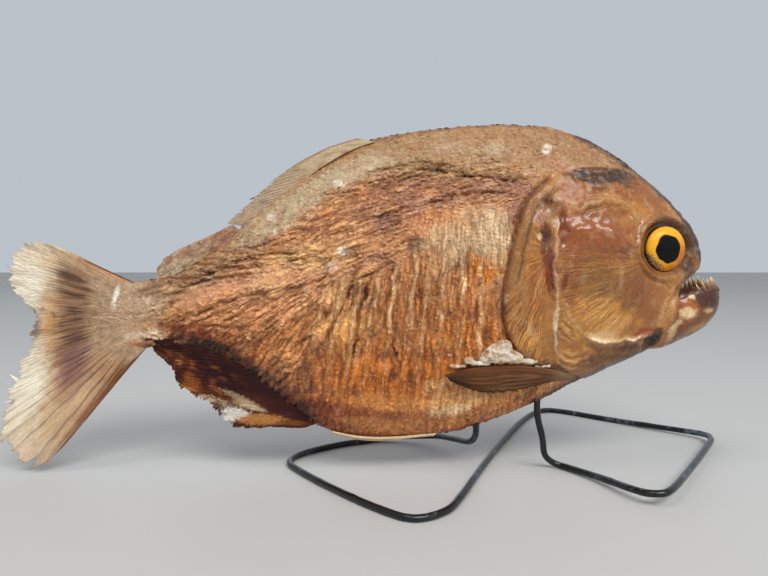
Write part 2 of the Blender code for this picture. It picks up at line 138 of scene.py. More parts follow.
def noise(u, v, seed=0):
    # smooth noise from about -1 to 1, with one bump for each unit of u and v
    u, v = np.broadcast_arrays(np.asarray(u, float), np.asarray(v, float))
    i, j = np.floor(u).astype(np.int64), np.floor(v).astype(np.int64)
    fu, fv = u - i, v - j
    su, sv = fu**3 * (fu * (fu * 6 - 15) + 10), fv**3 * (fv * (fv * 6 - 15) + 10)

    def corner(di, dj):
        angle = 2 * math.pi * hashed(i + di, j + dj, seed)
        return np.cos(angle) * (fu - di) + np.sin(angle) * (fv - dj)

    low = corner(0, 0) * (1 - su) + corner(1, 0) * su
    high = corner(0, 1) * (1 - su) + corner(1, 1) * su
    return 1.5 * (low * (1 - sv) + high * sv)


def layered(u, v, seed, octaves=3):
    total, size = 0.0, 1.0
    for k in range(octaves):
        total = total + size * noise(u * 2**k, v * 2**k, seed + 17 * k)
        size *= 0.5
    return total


def crinkled(u, v, seed):
    # round ridges with thin sharp valleys between them, from about -0.6 to 1
    return 2.2 * np.abs(noise(u, v, seed)) - 0.6


def pathField(x, z, path):
    # distance from a path in side view, on which side of it (1 to the left of its heading), how far along
    path = np.asarray(path, float)
    best = np.full(x.shape, 1e9)
    side, along = np.ones(x.shape), np.zeros(x.shape)
    lengths = np.linalg.norm(np.diff(path, axis=0), axis=1)
    total, done = lengths.sum(), 0.0
    for a, b, length in zip(path[:-1], path[1:], lengths):
        ux, uz = (b - a) / length
        px, pz = x - a[0], z - a[1]
        u = np.clip(px * ux + pz * uz, 0, length)
        dx, dz = px - u * ux, pz - u * uz
        squared = dx * dx + dz * dz
        nearer = squared < best
        best = np.where(nearer, squared, best)
        side = np.where(nearer, np.where(ux * pz - uz * px >= 0, 1.0, -1.0), side)
        along = np.where(nearer, (done + u) / total, along)
        done += length
    return np.sqrt(best), side, along


def linearColour(text):
    parts = [int(text[i:i + 2], 16) / 255 for i in (1, 3, 5)]
    return np.array([c / 12.92 if c <= 0.04045 else ((c + 0.055) / 1.055) ** 2.4 for c in parts])


def paint(text):
    return (*linearColour(text), 1.0)


def addNode(kind, *inputs, output=None, stops=None, **settings):
    # adds a node to the material at hand: each input is a value, a socket to link or None for the default
    node = tree.nodes.new("ShaderNode" + kind)
    for name, value in settings.items():
        setattr(node, name, value)
    if stops:
        ramp = node.color_ramp
        while len(ramp.elements) < len(stops):
            ramp.elements.new(1.0)
        for element, (position, colour) in zip(ramp.elements, stops):
            element.position, element.color = position, paint(colour)
    for socket, value in zip([one for one in node.inputs if one.enabled], inputs):
        if isinstance(value, bpy.types.NodeSocket):
            tree.links.new(value, socket)
        elif value is not None:
            socket.default_value = value
    return node.outputs[output] if output else next(one for one in node.outputs if one.enabled)


def feed(socket, source):
    tree.links.new(source, shader.inputs[socket])


def startMaterial(name, **values):
    made = bpy.data.materials.new(name)
    made.use_nodes = True
    started = made.node_tree.nodes["Principled BSDF"]
    for socket, value in values.items():
        started.inputs[socket.replace("_", " ")].default_value = value
    return made, made.node_tree, started


def deselectAll():
    for obj in bpy.context.view_layer.objects:
        obj.select_set(False)


def primitive(name, kind, **size):
    deselectAll()
    getattr(bpy.ops.mesh, f"primitive_{kind}_add")(**size)
    obj = bpy.context.active_object
    obj.name = obj.data.name = name
    return obj


def points(obj):
    held = np.empty(len(obj.data.vertices) * 3)
    obj.data.vertices.foreach_get("co", held)
    return held.reshape(-1, 3)


def ballGrid(obj):
    # for each vertex of a ball: how far from its lower pole, from 0 to 1, its turn, and whether it is a pole
    ball = points(obj)
    rise = np.arccos(np.clip(-ball[:, 2], -1, 1)) / math.pi
    return rise, np.arctan2(ball[:, 1], ball[:, 0]), np.hypot(ball[:, 0], ball[:, 1]) < 1e-5


def normals(obj):
    held = np.empty(len(obj.data.vertices) * 3)
    obj.data.vertex_normals.foreach_get("vector", held)
    return held.reshape(-1, 3)


def place(obj, moved):
    obj.data.vertices.foreach_set("co", np.asarray(moved, np.float32).ravel())
    obj.data.update()


def store(obj, name, values):
    # one number or one colour for each vertex
    values = np.asarray(values, np.float32)
    kind, field = ("FLOAT", "value") if values.ndim == 1 else ("FLOAT_COLOR", "color")
    if values.ndim == 2:
        values = np.column_stack((values, np.ones(len(values), np.float32)))
    attribute = obj.data.attributes.get(name) or obj.data.attributes.new(name, kind, "POINT")
    attribute.data.foreach_set(field, values.ravel())


def stored(obj, name):
    held = np.empty(len(obj.data.vertices), np.float32)
    obj.data.attributes[name].data.foreach_get("value", held)
    return held.astype(float)


def applyModifier(obj, kind, **settings):
    deselectAll()
    obj.select_set(True)
    bpy.context.view_layer.objects.active = obj
    modifier = obj.modifiers.new(kind.lower(), kind)
    for name, value in settings.items():
        setattr(modifier, name, value)
    bpy.ops.object.modifier_apply(modifier=modifier.name)


def paintGroup(obj, name, share):
    # vertex weights from 0 to 1, in tenths
    group = obj.vertex_groups.new(name=name)
    for level in range(1, 11):
        chosen = np.flatnonzero((share > (level - 0.5) / 10) & (share <= (level + 0.5) / 10))
        group.add([int(i) for i in chosen], level / 10, "REPLACE")


def storeUv(obj, name, places):
    # a UV map with one place for each vertex
    loops = np.empty(len(obj.data.loops), np.int64)
    obj.data.loops.foreach_get("vertex_index", loops)
    obj.data.uv_layers.new(name=name).data.foreach_set("uv", places[loops].astype(np.float32).ravel())


def joinPieces(name, pieces):
    deselectAll()
    for obj in pieces:
        obj.select_set(True)
    bpy.context.view_layer.objects.active = pieces[0]
    bpy.ops.object.join()
    pieces[0].name = pieces[0].data.name = name
    return pieces[0]


def faceOutward(obj):
    shape = bmesh.new()
    shape.from_mesh(obj.data)
    bmesh.ops.remove_doubles(shape, verts=shape.verts, dist=1e-8)
    bmesh.ops.recalc_face_normals(shape, faces=shape.faces)
    shape.to_mesh(obj.data)
    shape.free()


def finishPiece(obj, material, slotName, *replaced):
    obj.data.materials.clear()
    obj.data.materials.append(material)
    obj.data.shade_smooth()
    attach(obj, "root")
    if replaced:
        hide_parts(*replaced)
    triangles = sum(len(face.vertices) - 2 for face in obj.data.polygons)
    say(f"{obj.name} has {triangles} triangles")
    return obj


# Cross-sections from the end of the tail stem to the snout: back x and z, belly x and z, half width, and
# how sharp the belly and the back are.
bodySections = np.array([
    (-90.5, 50, -90.5, 46, 0.8, 0.5, 0.5), (-89, 55, -89, 41.5, 1.1, 0.5, 0.5),
    (-84, 59.6, -84, 37.8, 1.9, 0.5, 0.5), (-75, 60.2, -75, 38.8, 3.2, 0.5, 0.5),
    (-66, 62.6, -66, 39.8, 4.4, 0.52, 0.56), (-56, 68.2, -57, 38.6, 5.8, 0.58, 0.64),
    (-46, 75, -47, 34.5, 7.5, 0.66, 0.72), (-37, 82.5, -38, 28, 9.1, 0.72, 0.76),
    (-28, 89.3, -29, 20.5, 10.6, 0.76, 0.76), (-18, 96.6, -19.5, 14.4, 12, 0.78, 0.76),
    (-6, 102.7, -9, 11.5, 13.2, 0.78, 0.74), (8, 105.6, 5, 11.3, 14.1, 0.78, 0.72),
    (22, 107.2, 20, 12.7, 14.8, 0.78, 0.7), (36, 107.9, 34, 16.8, 15.2, 0.76, 0.7),
    (49, 107.1, 47, 22.2, 15.3, 0.74, 0.7), (60, 104.1, 58.5, 28.2, 14.6, 0.7, 0.68),
    (69, 99.4, 68, 32.4, 13.4, 0.66, 0.66), (77.2, 93.3, 76.5, 36.1, 11.9, 0.62, 0.62),
    (84.2, 87.5, 82.6, 39.6, 10.4, 0.6, 0.6), (89.7, 81.8, 85.6, 47, 8.5, 0.56, 0.56),
    (93.7, 76.8, 88.4, 55, 6.7, 0.52, 0.52), (95.9, 71.6, 92.2, 60.2, 4.6, 0.5, 0.5),
    (97.1, 67.5, 95.6, 62.6, 2.6, 0.5, 0.5),
])
lastStation = len(bodySections) - 1
stationGrid = np.linspace(0, lastStation, 20 * lastStation + 1)
bodyRows = smoothLine(bodySections, len(stationGrid))

# The lower jaw: rim x and z, chin x and z, half width. Its first three rows are sunk in the head.
jawSections = np.array([
    (74, 50, 70, 39.5, 4), (79, 52.4, 75.4, 39.4, 6.6), (84.4, 54.2, 80, 39.2, 8.2),
    (88.9, 55.6, 83.9, 39, 8.3), (92, 57, 88.5, 40.8, 8), (95.4, 57.9, 93.5, 43, 7.1),
    (98.4, 58.5, 97.5, 45.4, 5.9), (100.8, 58.6, 100.7, 48.6, 4.4), (102.3, 57.8, 102.4, 52.2, 2.5),
])
jawProfile = [
    (0, 0), (0.4, 0.05), (0.72, 0.19), (0.93, 0.4), (1, 0.62), (0.97, 0.84), (0.84, 1), (0.66, 0.92),
    (0.38, 0.7), (0, 0.62),
]


def bodyAt(t):
    return [np.interp(t, stationGrid, bodyRows[:, k]) for k in range(7)]


def widthShare(s, keel, crest):
    s = np.clip(s, 0.0, 1.0)
    widest = keel / (keel + crest)
    return (s / widest) ** keel * ((1 - s) / (1 - widest)) ** crest


def bodySurface(t, angle, grow=0.0):
    # a point of the body's surface; angle goes from the belly (0) up the right side to the back (pi)
    backX, backZ, bellyX, bellyZ, width, keel, crest = bodyAt(t)
    length = np.hypot(backX - bellyX, backZ - bellyZ)
    upX, upZ = (backX - bellyX) / length, (backZ - bellyZ) / length
    s = (1 - np.cos(angle)) / 2
    reach = s * (length + 2 * grow) - grow
    y = -np.sign(np.sin(angle)) * (width + grow) * widthShare(s, keel, crest)
    return np.column_stack((bellyX + reach * upX, y, bellyZ + reach * upZ))


def bodyPlace(x, z):
    # the station and the height share (0 at the belly, 1 at the back) of points of the side view
    t = np.interp(x, bodyRows[:, 0] * 0.5 + bodyRows[:, 2] * 0.5, stationGrid)
    for _ in range(5):
        backX, backZ, bellyX, bellyZ, *_ = bodyAt(t)
        s = np.clip((z - bellyZ) / (backZ - bellyZ), 0.0, 1.0)
        t = np.clip(t + (x - (bellyX + s * (backX - bellyX))) / 11.0, 0, lastStation)
    return t, s, backZ - bellyZ


napeLine = [(82, 97), (76.5, 92.4), (70, 93.4), (60.8, 93.6), (51.7, 92.2)]
gillEdge = [
    (46.6, 88.6), (41.2, 83.4), (38, 75.3), (36, 67), (34.6, 59.5), (34.3, 51.8), (35.8, 45), (39.6, 39.4),
    (45.6, 35.3), (52.6, 32.6),
]
headEdge = smoothLine(napeLine + gillEdge + [(61.5, 30.6), (64.5, 22)], 64)
gillPath = smoothLine(gillEdge, 36)
preopercle = smoothLine([(52.2, 35), (50, 40), (49, 45), (48.8, 50), (49, 55), (48.4, 60.8),
                         (48, 65.9), (48.4, 72.2), (49.3, 79.1)], 30)
ribPlaces = [-32, -27, -22, -17, -12, -7, -2, 3.1, 8.2, 12.2, 16.8, 22.3, 27.8, 33, 38]
wrinkleFocus = {"x": -6.0, "z": 69.0}
calmBand = np.array([(-64, 53), (-48, 58), (-35, 61), (-21, 64)])
eyeRim = {"groove": 7.3, "grooveDepth": 0.7, "ridge": 9.0, "ridgeHeight": 1.0, "pit": 3.2}

# Creases and ridges of the side: path, depth (raised where negative), half width, lip height and how
# dark their painted shade is (a share; pale where negative, partly own colour and partly painted highlight).
creases = [
    ([(46, 89.8), (36.4, 89.3), (32.9, 89.8), (30.3, 90.2), (26.3, 90.5), (21.2, 91.1), (17.2, 92.2),
      (11.2, 92.8), (6.2, 91.1), (-1.4, 89.8), (-8.9, 88.2), (-11.4, 87.2)], 1.1, 0.5, 0.35, 1),
    ([(24, 92.4), (17, 94), (11, 94.8), (4, 93.6), (-4, 92), (-10, 90)], 0.6, 0.45, 0.25, 0.7),
    ([(16, 91.2), (9, 90.6), (2, 88.8), (-6, 87.2), (-14, 85.8), (-22, 85)], 0.6, 0.45, 0.25, 0.65),
    ([(30, 88.6), (24, 88.8), (18, 88)], 0.4, 0.4, 0.2, 0.5),
    ([(34.9, 85.7), (29.3, 85.9), (25.3, 85.3), (21.3, 84.9), (17.3, 84), (13.2, 82.7), (10.2, 81.5)],
     0.9, 0.6, 0.45, 0.8),
    ([(8, 82.5), (2, 80), (-4, 78.9), (-10, 79.5)], 0.5, 0.5, 0.3, 0.5),
    ([(-66, 47.4), (-63.2, 48.2), (-56.8, 50), (-51.6, 52), (-47.6, 53.2), (-42.9, 55.5), (-38.3, 56.4),
      (-30.2, 57.5), (-24.4, 58.7), (-20.3, 60.1), (-12.8, 63), (-7, 66.5)], 0.8, 0.6, 0.45, 0.75),
    ([(-60, 60), (-53, 62), (-47, 64), (-40, 64), (-35, 65)], 0.7, 0.6, 0.4, 0.8),
    ([(-51, 66), (-45, 66), (-40, 67), (-33, 68), (-26, 69), (-20, 71)], 0.7, 0.55, 0.35, 0.8),
    ([(-35, 70), (-30, 71), (-26, 73)], 0.6, 0.5, 0.3, 0.6),
    ([(-62, 57), (-55, 60), (-49, 61), (-41, 62), (-36, 64)], 0.6, 0.5, 0.35, 0.85),
    ([(-42, 69), (-36, 71), (-31, 73), (-24, 75), (-19, 76)], 0.5, 0.5, 0.3, 0.75),
    ([(-32, 65), (-26, 66), (-19, 68), (-15, 70)], 0.5, 0.5, 0.3, 0.7),
    ([(-56, 46), (-51, 47), (-45, 46), (-40, 47)], 0.5, 0.5, 0.3, 0.7),
    ([(-46, 40), (-42, 43), (-38, 45), (-33, 49)], 0.5, 0.6, 0.3, 0.7),
    ([(-3, 64), (-5, 58), (-7, 52), (-8, 46), (-9, 39), (-10, 32)], 0.8, 0.6, 0.35, 0.85),
    ([(-7, 64), (-9, 61), (-11, 55), (-15, 47), (-19, 40)], 0.7, 0.6, 0.35, 0.75),
    ([(-11, 62), (-14, 55), (-18, 48), (-23, 42)], 0.5, 0.55, 0.3, 0.5),
    ([(-9, 60), (-3, 63), (1, 65), (5, 66)], 0.7, 0.5, 0.3, 0.8),
    ([(2, 44), (3, 41), (4, 38), (5, 34)], 0.7, 0.45, 0.2, 0.9),
    ([(11, 66), (14, 63), (16, 60)], -0.4, 0.5, 0, -0.35),
    ([(-82, 50), (-76, 50), (-70, 51), (-62, 52)], 0.3, 0.45, 0.15, 0.5),
    ([(-73, 52), (-67, 53), (-60, 54)], 0.25, 0.4, 0.1, 0.4),
    ([(-76, 42), (-70, 42), (-65, 42), (-59, 44)], 0.5, 0.5, 0.3, 0.9),
    ([(-26, 40), (-22, 44), (-19, 47), (-15, 49)], 0.6, 0.6, 0.3, 0.6),
    ([(-41, 27), (-37, 31), (-33, 35), (-29, 39)], 0.5, 0.6, 0.3, 0.5),
    ([(-36, 26), (-31, 30), (-27, 34), (-24, 39)], 0.4, 0.5, 0.3, 0.4),
    # the head
    ([(55, 80), (58.5, 82.4), (62.3, 83.6), (67.5, 83.3), (71.5, 80.9), (73.9, 76.8)], -0.7, 0.42, 0, -0.55),
    ([(55, 78.2), (58.5, 80.6), (62.3, 81.9), (67, 81.5), (70.6, 79.4), (72.4, 76)], 0.6, 0.55, 0, 0.5),
    ([(57.6, 85.6), (63, 86.4), (69, 85.4), (74, 82.5)], 0.3, 0.6, 0.1, 0.2),
    ([(51.2, 73.6), (53.4, 74.4), (57.1, 75), (61.6, 74.9), (65.8, 73.4), (69.4, 71), (70.6, 68.4)],
     -1.1, 2.3, 0, 0),
    ([(72.6, 79.1), (73.5, 76.2), (72.6, 72.2), (69.8, 69.4), (64, 68.6)], 0.3, 0.6, 0.1, 0.35),
    ([(45, 79), (45.1, 72.8), (45.7, 68.2), (46.4, 63.6), (47.2, 58.5), (47.6, 53)], 1.2, 1.3, 0.1, 0),
    ([(50.6, 80.5), (50.3, 77.9), (50.1, 72.9), (50, 69.4)], 0.6, 0.6, 0, 0),
    ([(50.2, 62.6), (50.4, 60.4), (50.6, 57.2)], 0.5, 0.6, 0, 0),
    ([(49.6, 56.6), (54.9, 48.2), (60.1, 43)], -0.2, 0.4, 0, -0.4),
    ([(38.3, 51.1), (41.6, 46.6), (45.2, 41.9)], -0.2, 0.45, 0, -0.4),
    ([(74.7, 62.6), (74.6, 58), (74.4, 53)], 0.2, 0.4, 0.1, 0.3),
    ([(93.9, 63.6), (90.6, 61.2), (88.2, 59.4), (85.8, 56.2), (84.1, 53.5), (83.5, 49.9), (82.3, 45.2)],
     0.8, 0.8, 0.35, 0.35),
    ([(84, 64), (86.6, 60.8), (86.9, 58.4)], 0.25, 0.45, 0.2, 0.2),
    ([(86, 65.4), (89.2, 63.4), (91.2, 63)], 0.25, 0.45, 0.2, 0.2),
    ([(80, 60.2), (83.4, 58.2), (84.6, 55.4)], 0.2, 0.4, 0.15, 0.15),
    ([(57.4, 46), (60, 43.6), (64.7, 42.4), (70.1, 42.8), (75.6, 43.6), (80.8, 45.2)], -1.2, 0.65, 0, -1),
    ([(57, 42.6), (61, 40.9), (66.4, 39.8), (72, 40.4), (77, 41.4)], 0.6, 0.7, 0, 0.35),
    ([(77.6, 41.2), (79.6, 41.6), (81.6, 42.6)], 1.6, 1.3, 0, 0),
    ([(51, 40), (54, 38), (57, 38), (61, 40)], 0.25, 0.5, 0.25, 0.25),
    ([(50, 38), (54, 36), (58, 36), (62, 38)], 0.25, 0.5, 0.25, 0.25),
    ([(50, 49), (52, 48), (54, 46), (55, 43)], 0.25, 0.4, 0.25, 0.3),
    ([(49, 47), (51, 46), (53, 44), (55, 42)], 0.25, 0.4, 0.25, 0.3),
    ([(53, 90.6), (60, 90.4), (68, 90.8), (76, 89.6)], 0.5, 1, 0.2, 0),
    ([(83, 86.4), (87.2, 82.2), (90.6, 78), (92.6, 73.6)], 0.45, 0.9, 0.2, 0.15),
    ([(90, 70), (91.4, 67.6), (92.6, 65.6)], 0.3, 0.6, 0.2, 0.25),
]
creases = [(smoothLine(path, 4 * len(path)), *rest) for path, *rest in creases]


def relief(x, z, seed):
    # how far the skin of one side stands out at points of its side view, in mm, and where what marks lie
    def wave(sizeX, sizeZ, n):
        return noise(x / sizeX, z / sizeZ, seed + n)

    t, s, height = bodyPlace(x, z)
    bodyDown = (1 - s) * height  # down from the back
    wobbleX = x + 0.7 * wave(2.6, 2.6, 1) + 0.25 * wave(0.9, 0.9, 2)
    wobbleZ = z + 0.7 * wave(2.6, 2.6, 3) + 0.25 * wave(0.9, 0.9, 4)

    edgeDistance, edgeSide, _ = pathField(x, z, headEdge)
    ahead = edgeDistance * edgeSide  # in front of the edge of the head
    jaw = smoothStep(x - 0.42 * (z - 50), 84.5, 86.5) * fall(z, 59.5, 61)
    head = np.maximum(smoothStep(ahead, -0.35, 0.35), smoothStep(x, 80, 82))
    gillDistance = pathField(x, z, gillPath)[0]
    ridgeDistance, _, ridgeAlong = pathField(wobbleX, z, preopercle)
    ridgeSpan = window(ridgeAlong, 0.12, 0.93, 0.08)

    # ribs show through the belly wall
    ribX = 30 + (x - 30) * 219 / (278 - z)
    bentX = ribX + 0.9 * wave(7, 6, 5) + 0.35 * wave(2.2, 2.6, 17)
    phase = np.interp(bentX, ribPlaces, np.arange(len(ribPlaces)))
    ribLine = (0.5 + 0.5 * np.cos(2 * math.pi * phase)) ** 2.8 \
        * (0.85 + 0.35 * noise(phase, z / 8, seed + 18))
    ribFolds = crinkled(ribX / 1.9 + 0.4 * wave(4, 5, 19), z / 13, seed + 26)
    ribTop = 68.5 - 9 * smoothStep(-ribX, -6, 14) + 3 * noise(np.round(phase) + 0.5, 0.5, seed + 6)
    ribZone = window(ribX, -19, 31, 4) * smoothStep(z, 20, 32) * fall(z - ribTop, -5, 3)
    ribZone *= 1 - head

    # wrinkles that fan out over the rear flank from above the ribs
    fanX, fanZ = x - wrinkleFocus["x"], z - wrinkleFocus["z"]
    radius = np.hypot(fanX, fanZ)
    turn = np.arctan2(-fanX, -fanZ) + 0.05 * wave(9, 9, 7) + 0.016 * wave(2.4, 2.4, 8)
    fan = np.zeros(x.shape)
    for rate, low, high in ((8, 4, 17), (15, 17, 33), (25, 33, 54), (38, 54, 90)):
        reach = window(radius, low, high, 5)
        fan += reach * crinkled(turn * rate, radius / 11, seed + int(rate))
        fan += 0.45 * reach * crinkled(turn * rate * 2.1, radius / 6, seed + 3 * int(rate))
    fanZone = window(turn, 0.1, 1.62, 0.2) * smoothStep(radius, 6, 14) * fall(-x, 62, 80) * (1 - head)
    fanZone *= 1 - 0.65 * ribZone

    # a smooth band along the middle of the rear flank
    calmDistance, _, calmAlong = pathField(x, z, calmBand)
    calm = bell(calmDistance + 0.8 * wave(5, 2, 29), 2.6) * window(calmAlong, 0.06, 0.9, 0.08)
    fanZone *= 1 - 0.75 * calm

    # fine folds along the upper flank
    downward = bodyDown + 0.12 * x + 0.35 * wave(2.6, 2.2, 13)
    upper = crinkled(x / 9, downward / 1.45, seed + 8) + 0.45 * crinkled(x / 4, downward / 0.75, seed + 14)
    upperZone = (1 - 0.7 * calm) * window(bodyDown, 12, 44, 4) * fall(x, 34, 46) \
        * (1 - 0.85 * fanZone) * (1 - head)
    shoulder = smoothStep(x, 2, 16) * fall(z, 78, 84) * (1 - head)  # small upright folds ahead
    upperZone *= 1 - shoulder
    upperZone = upperZone * (1 - ribZone) * smoothStep(x, -72, -50)
    shallow = crinkled(x / 1.5, z / 1.1, seed + 9)
    fine = crinkled(x / 0.85, z / 0.8, seed + 10)
    backZone = fall(bodyDown, 8, 16)
    stemZone = smoothStep(-x, 60, 74)
    rough = (1 - head) * (1 - 0.45 * backZone) * (1 - 0.55 * stemZone)

    lumps = 0.3 * wave(9, 7, 11) + 0.12 * wave(3.5, 3, 12)
    wrinkle = 0.42 * fanZone * fan + 0.24 * upperZone * upper
    grain = rough * (0.1 * shallow + 0.05 * fine)
    ribs = ribZone * (ribLine - 0.4 + 0.26 * ribFolds)
    backFolds = backZone * (1 - head) * (1 - stemZone)
    wrinkle += 0.1 * backFolds * upper
    high = lumps * (1 - 0.55 * head) + wrinkle + grain + ribs

    # the gill cover stands proud of the shoulder and its ridge stands up from it
    high += 0.75 * head * fall(x, 52, 78) * (1 - jaw) * (1 - 0.9 * smoothStep(z, 82, 91))
    strapZone = window(z, 59, 87, 2.5) * fall(x, 49, 52) * head
    ahead2 = ahead + 0.35 * noise(z / 3, 0.5, seed + 15) + 0.2 * noise(z / 1.1, x / 1.1, seed + 16)
    strap = strapZone * window(ahead2, 0.3, 2.3, 0.4)
    strapGroove = strapZone * bell(ahead2 - 2.9, 0.45)
    high += 0.15 * strapZone * bell(ahead2 - 1.2, 1)
    high -= 0.5 * strapGroove
    high -= 0.25 * strapZone * bell(ahead2 - 1.4, 0.3)
    high -= 0.9 * bell(ahead + 0.55, 0.6) * fall(gillDistance, 1, 3)
    high -= 0.3 * bell(ahead, 1.4) * smoothStep(gillDistance, 1, 3) * (0.6 + 0.6 * wave(3, 3, 27))
    high += ridgeSpan * (0.65 * bell(ridgeDistance, 0.42) + 0.3 * bell(ridgeDistance, 1.6))
    cheek = np.hypot((x - 61) / 13.5, (z - 61) / 16.5)
    high += 0.8 * fall(cheek, 0.6, 1.08)
    opercle = np.hypot((x - 41.5) / 7.5, (z - 54) / 17)
    high += 0.45 * fall(opercle, 0.4, 1.1)

    # fine rays in the skin of the cheek and of the gill cover
    cheekTurn = np.arctan2(z - 64, 76 - x)
    cheekTurn += 0.03 * wave(3, 3, 24)
    cheekRays = crinkled(cheekTurn * 22, np.hypot(x - 76, z - 64) / 12, seed + 20)
    cheekZone = fall(cheek, 0.75, 1.1) * fall(z, 68, 73)
    coverTurn = np.arctan2(69 - z, 47.5 - x)
    coverTurn += 0.04 * wave(3, 3, 25)
    coverRays = crinkled(coverTurn * 19, np.hypot(x - 47.5, z - 69) / 11, seed + 21)
    coverZone = head * fall(x, 44.5, 46.5) * (1 - strapZone * fall(ahead, 3.5, 4.5))
    headGrain = head * (0.05 * crinkled(x / 1.9, z / 1.7, seed + 22) + 0.1 * wave(2.4, 3.2, 23))
    brow = head * np.maximum(smoothStep(z, 78, 84) * smoothStep(x, 48, 54), smoothStep(x, 84, 88)) \
        * (1 - jaw)
    headGrain += 0.11 * brow * crinkled(x / 3.4, z / 2.6, seed + 28)
    headGrain += 0.9 * bell(np.hypot(x - 46.6, z - 83.3), 0.85)
    high += 0.14 * cheekZone * cheekRays
    high += 0.15 * coverZone * coverRays
    high += headGrain * (1 - 0.5 * cheekZone)

    dark = np.zeros(x.shape)
    pale = np.zeros(x.shape)
    line = np.zeros(x.shape)
    for path, depth, width, lip, tone in creases:
        reach = 4 * width + 2
        near = ((x > path[:, 0].min() - reach) & (x < path[:, 0].max() + reach)
                & (z > path[:, 1].min() - reach) & (z < path[:, 1].max() + reach))
        if not near.any():
            continue
        distance, _, along = pathField(wobbleX[near], wobbleZ[near], path)
        taper = window(along, 0.1, 0.9, 0.1)
        taper *= 0.75 + 0.35 * noise(along * len(path) / 4, 0.5, seed + 30)
        shapeHere = -depth * taper * bell(distance, width) + lip * taper \
            * bell(distance - 2.1 * width, width)
        high[near] += shapeHere
        # painted shade darkens the creases and draws their lines, and a painted highlight pales the lips next
        # to them
        if tone > 0:
            dark[near] = np.maximum(dark[near], tone * taper * bell(distance, 1.05 * width))
            drawn = (0.35 + 0.65 * min(1, tone)) * taper * bell(distance, 1.5 * width + 0.35)
            line[near] = np.maximum(line[near], drawn)
            lipHighlight = 0.35 * min(1, lip * 2) * taper * bell(distance - 2.1 * width, width)
            pale[near] = np.maximum(pale[near], lipHighlight)
        elif tone < 0:
            pale[near] = np.maximum(pale[near], -tone * taper * bell(distance, width))

    # round the eye: a groove, the lid's ridge outside it, and a pit that the eye fills
    around = np.hypot((x - fishEyes["x"]), z - fishEyes["z"])
    bearing = np.arctan2(z - fishEyes["z"], x - fishEyes["x"])
    over = 0.55 + 0.45 * np.cos(bearing - 1.4)
    under = bell(bearing + 2.2, 0.6)
    high -= eyeRim["grooveDepth"] * (0.45 + 0.55 * over) * bell(around - eyeRim["groove"], 0.8)
    high += eyeRim["ridgeHeight"] * (0.3 + 0.7 * over) * bell(around - eyeRim["ridge"], 1.1)
    high -= 0.7 * under * bell(around - 9.8, 0.5)
    high += 0.6 * under * bell(around - 8.6, 0.6)
    high -= eyeRim["pit"] * fall(around, 5.6, 6.9)

    return SimpleNamespace(
        high=high, bodyDown=bodyDown, head=head, ahead=ahead, jaw=jaw, ribLine=ribLine, ribZone=ribZone,
        ribFolds=ribFolds, cheekZone=cheekZone, coverZone=coverZone, shoulder=shoulder, fan=fan,
        fanZone=fanZone, upper=upper, upperZone=upperZone, shallow=shallow, fine=fine, rough=rough,
        dark=dark, pale=pale, strap=strap, strapGroove=strapGroove,
        ridge=ridgeSpan * bell(ridgeDistance, 0.4), around=around, bearing=bearing,
        gillDistance=gillDistance, cheekRays=cheekRays * cheekZone, coverRays=coverRays * coverZone,
        stemZone=stemZone, backZone=backZone, calm=calm, line=line)


palette = {name: linearColour(text) for name, text in {
    "leather": "#b37b4e", "backTan": "#9a744e", "goldTan": "#d6a66a", "russet": "#73401c",
    "back": "#937149", "backRear": "#b09a78", "backEdge": "#7a5a45", "upperRed": "#98603f",
    "shoulder": "#8a5a46", "purple": "#7b4f46", "deepPurple": "#5a3a40", "scaleGrey": "#b59a78",
    # painted highlight for wrinkle crests, and painted shade between the ribs
    "frontTan": "#b89263", "ribBrown": "#ac7446", "crestHighlightGold": "#d2a46a", "ribShade": "#6c311a",
    "strap": "#85592f", "ribOrange": "#cb7a2a", "ribPale": "#e0bd8a", "belt": "#c4762a",
    "bellyGold": "#e0a05c", "bellyPale": "#ecc898", "bellyFront": "#c8945c", "rearPink": "#d89e76",
    "rearLow": "#cf935e", "rearDark": "#8d5c3d", "finDark": "#2c120c", "finRed": "#7a3218",
    "wine": "#6c302f",
    # painted shade: the darkest cores of the creases
    "stem": "#ad8e6f", "stemPale": "#dcc4a4", "stemDark": "#7c5940", "white": "#e0d4c0", "creaseCoreShade": "#2c211d",
    # painted shade for wrinkle valleys and creases; also used for some dark specks and patches
    "green": "#4b3d2d", "crevice": "#54281a", "valley": "#63301b", "orange": "#c0712b",
    "opercle": "#a5763f", "cheek": "#996b33", "cheekUp": "#8a4f2a", "cheekLow": "#d0a058",
    "cheekOlive": "#7f5f2a", "grooveRed": "#6d2c18", "ridge": "#d8b48a", "nape": "#43302f",
    "forehead": "#87583f",
    "snout": "#34180f", "underEye": "#7c4c26", "lip": "#8c5c3a", "jaw": "#76491e", "jawDark": "#3d2018",
    # painted shade: the near-black inside of a pit low on the cheek
    "jawOrange": "#b06a34", "jawPale": "#d9cbb4", "bone": "#ecdcbf", "hole": "#1d0b09", "throat": "#4f3322",
    # painted highlight: a pale pink sheen of light on the varnish
    "pinkFacet": "#b0897e", "nodule": "#4a1512", "socket": "#2e1914", "red": "#8d3a1c",
}.items()}

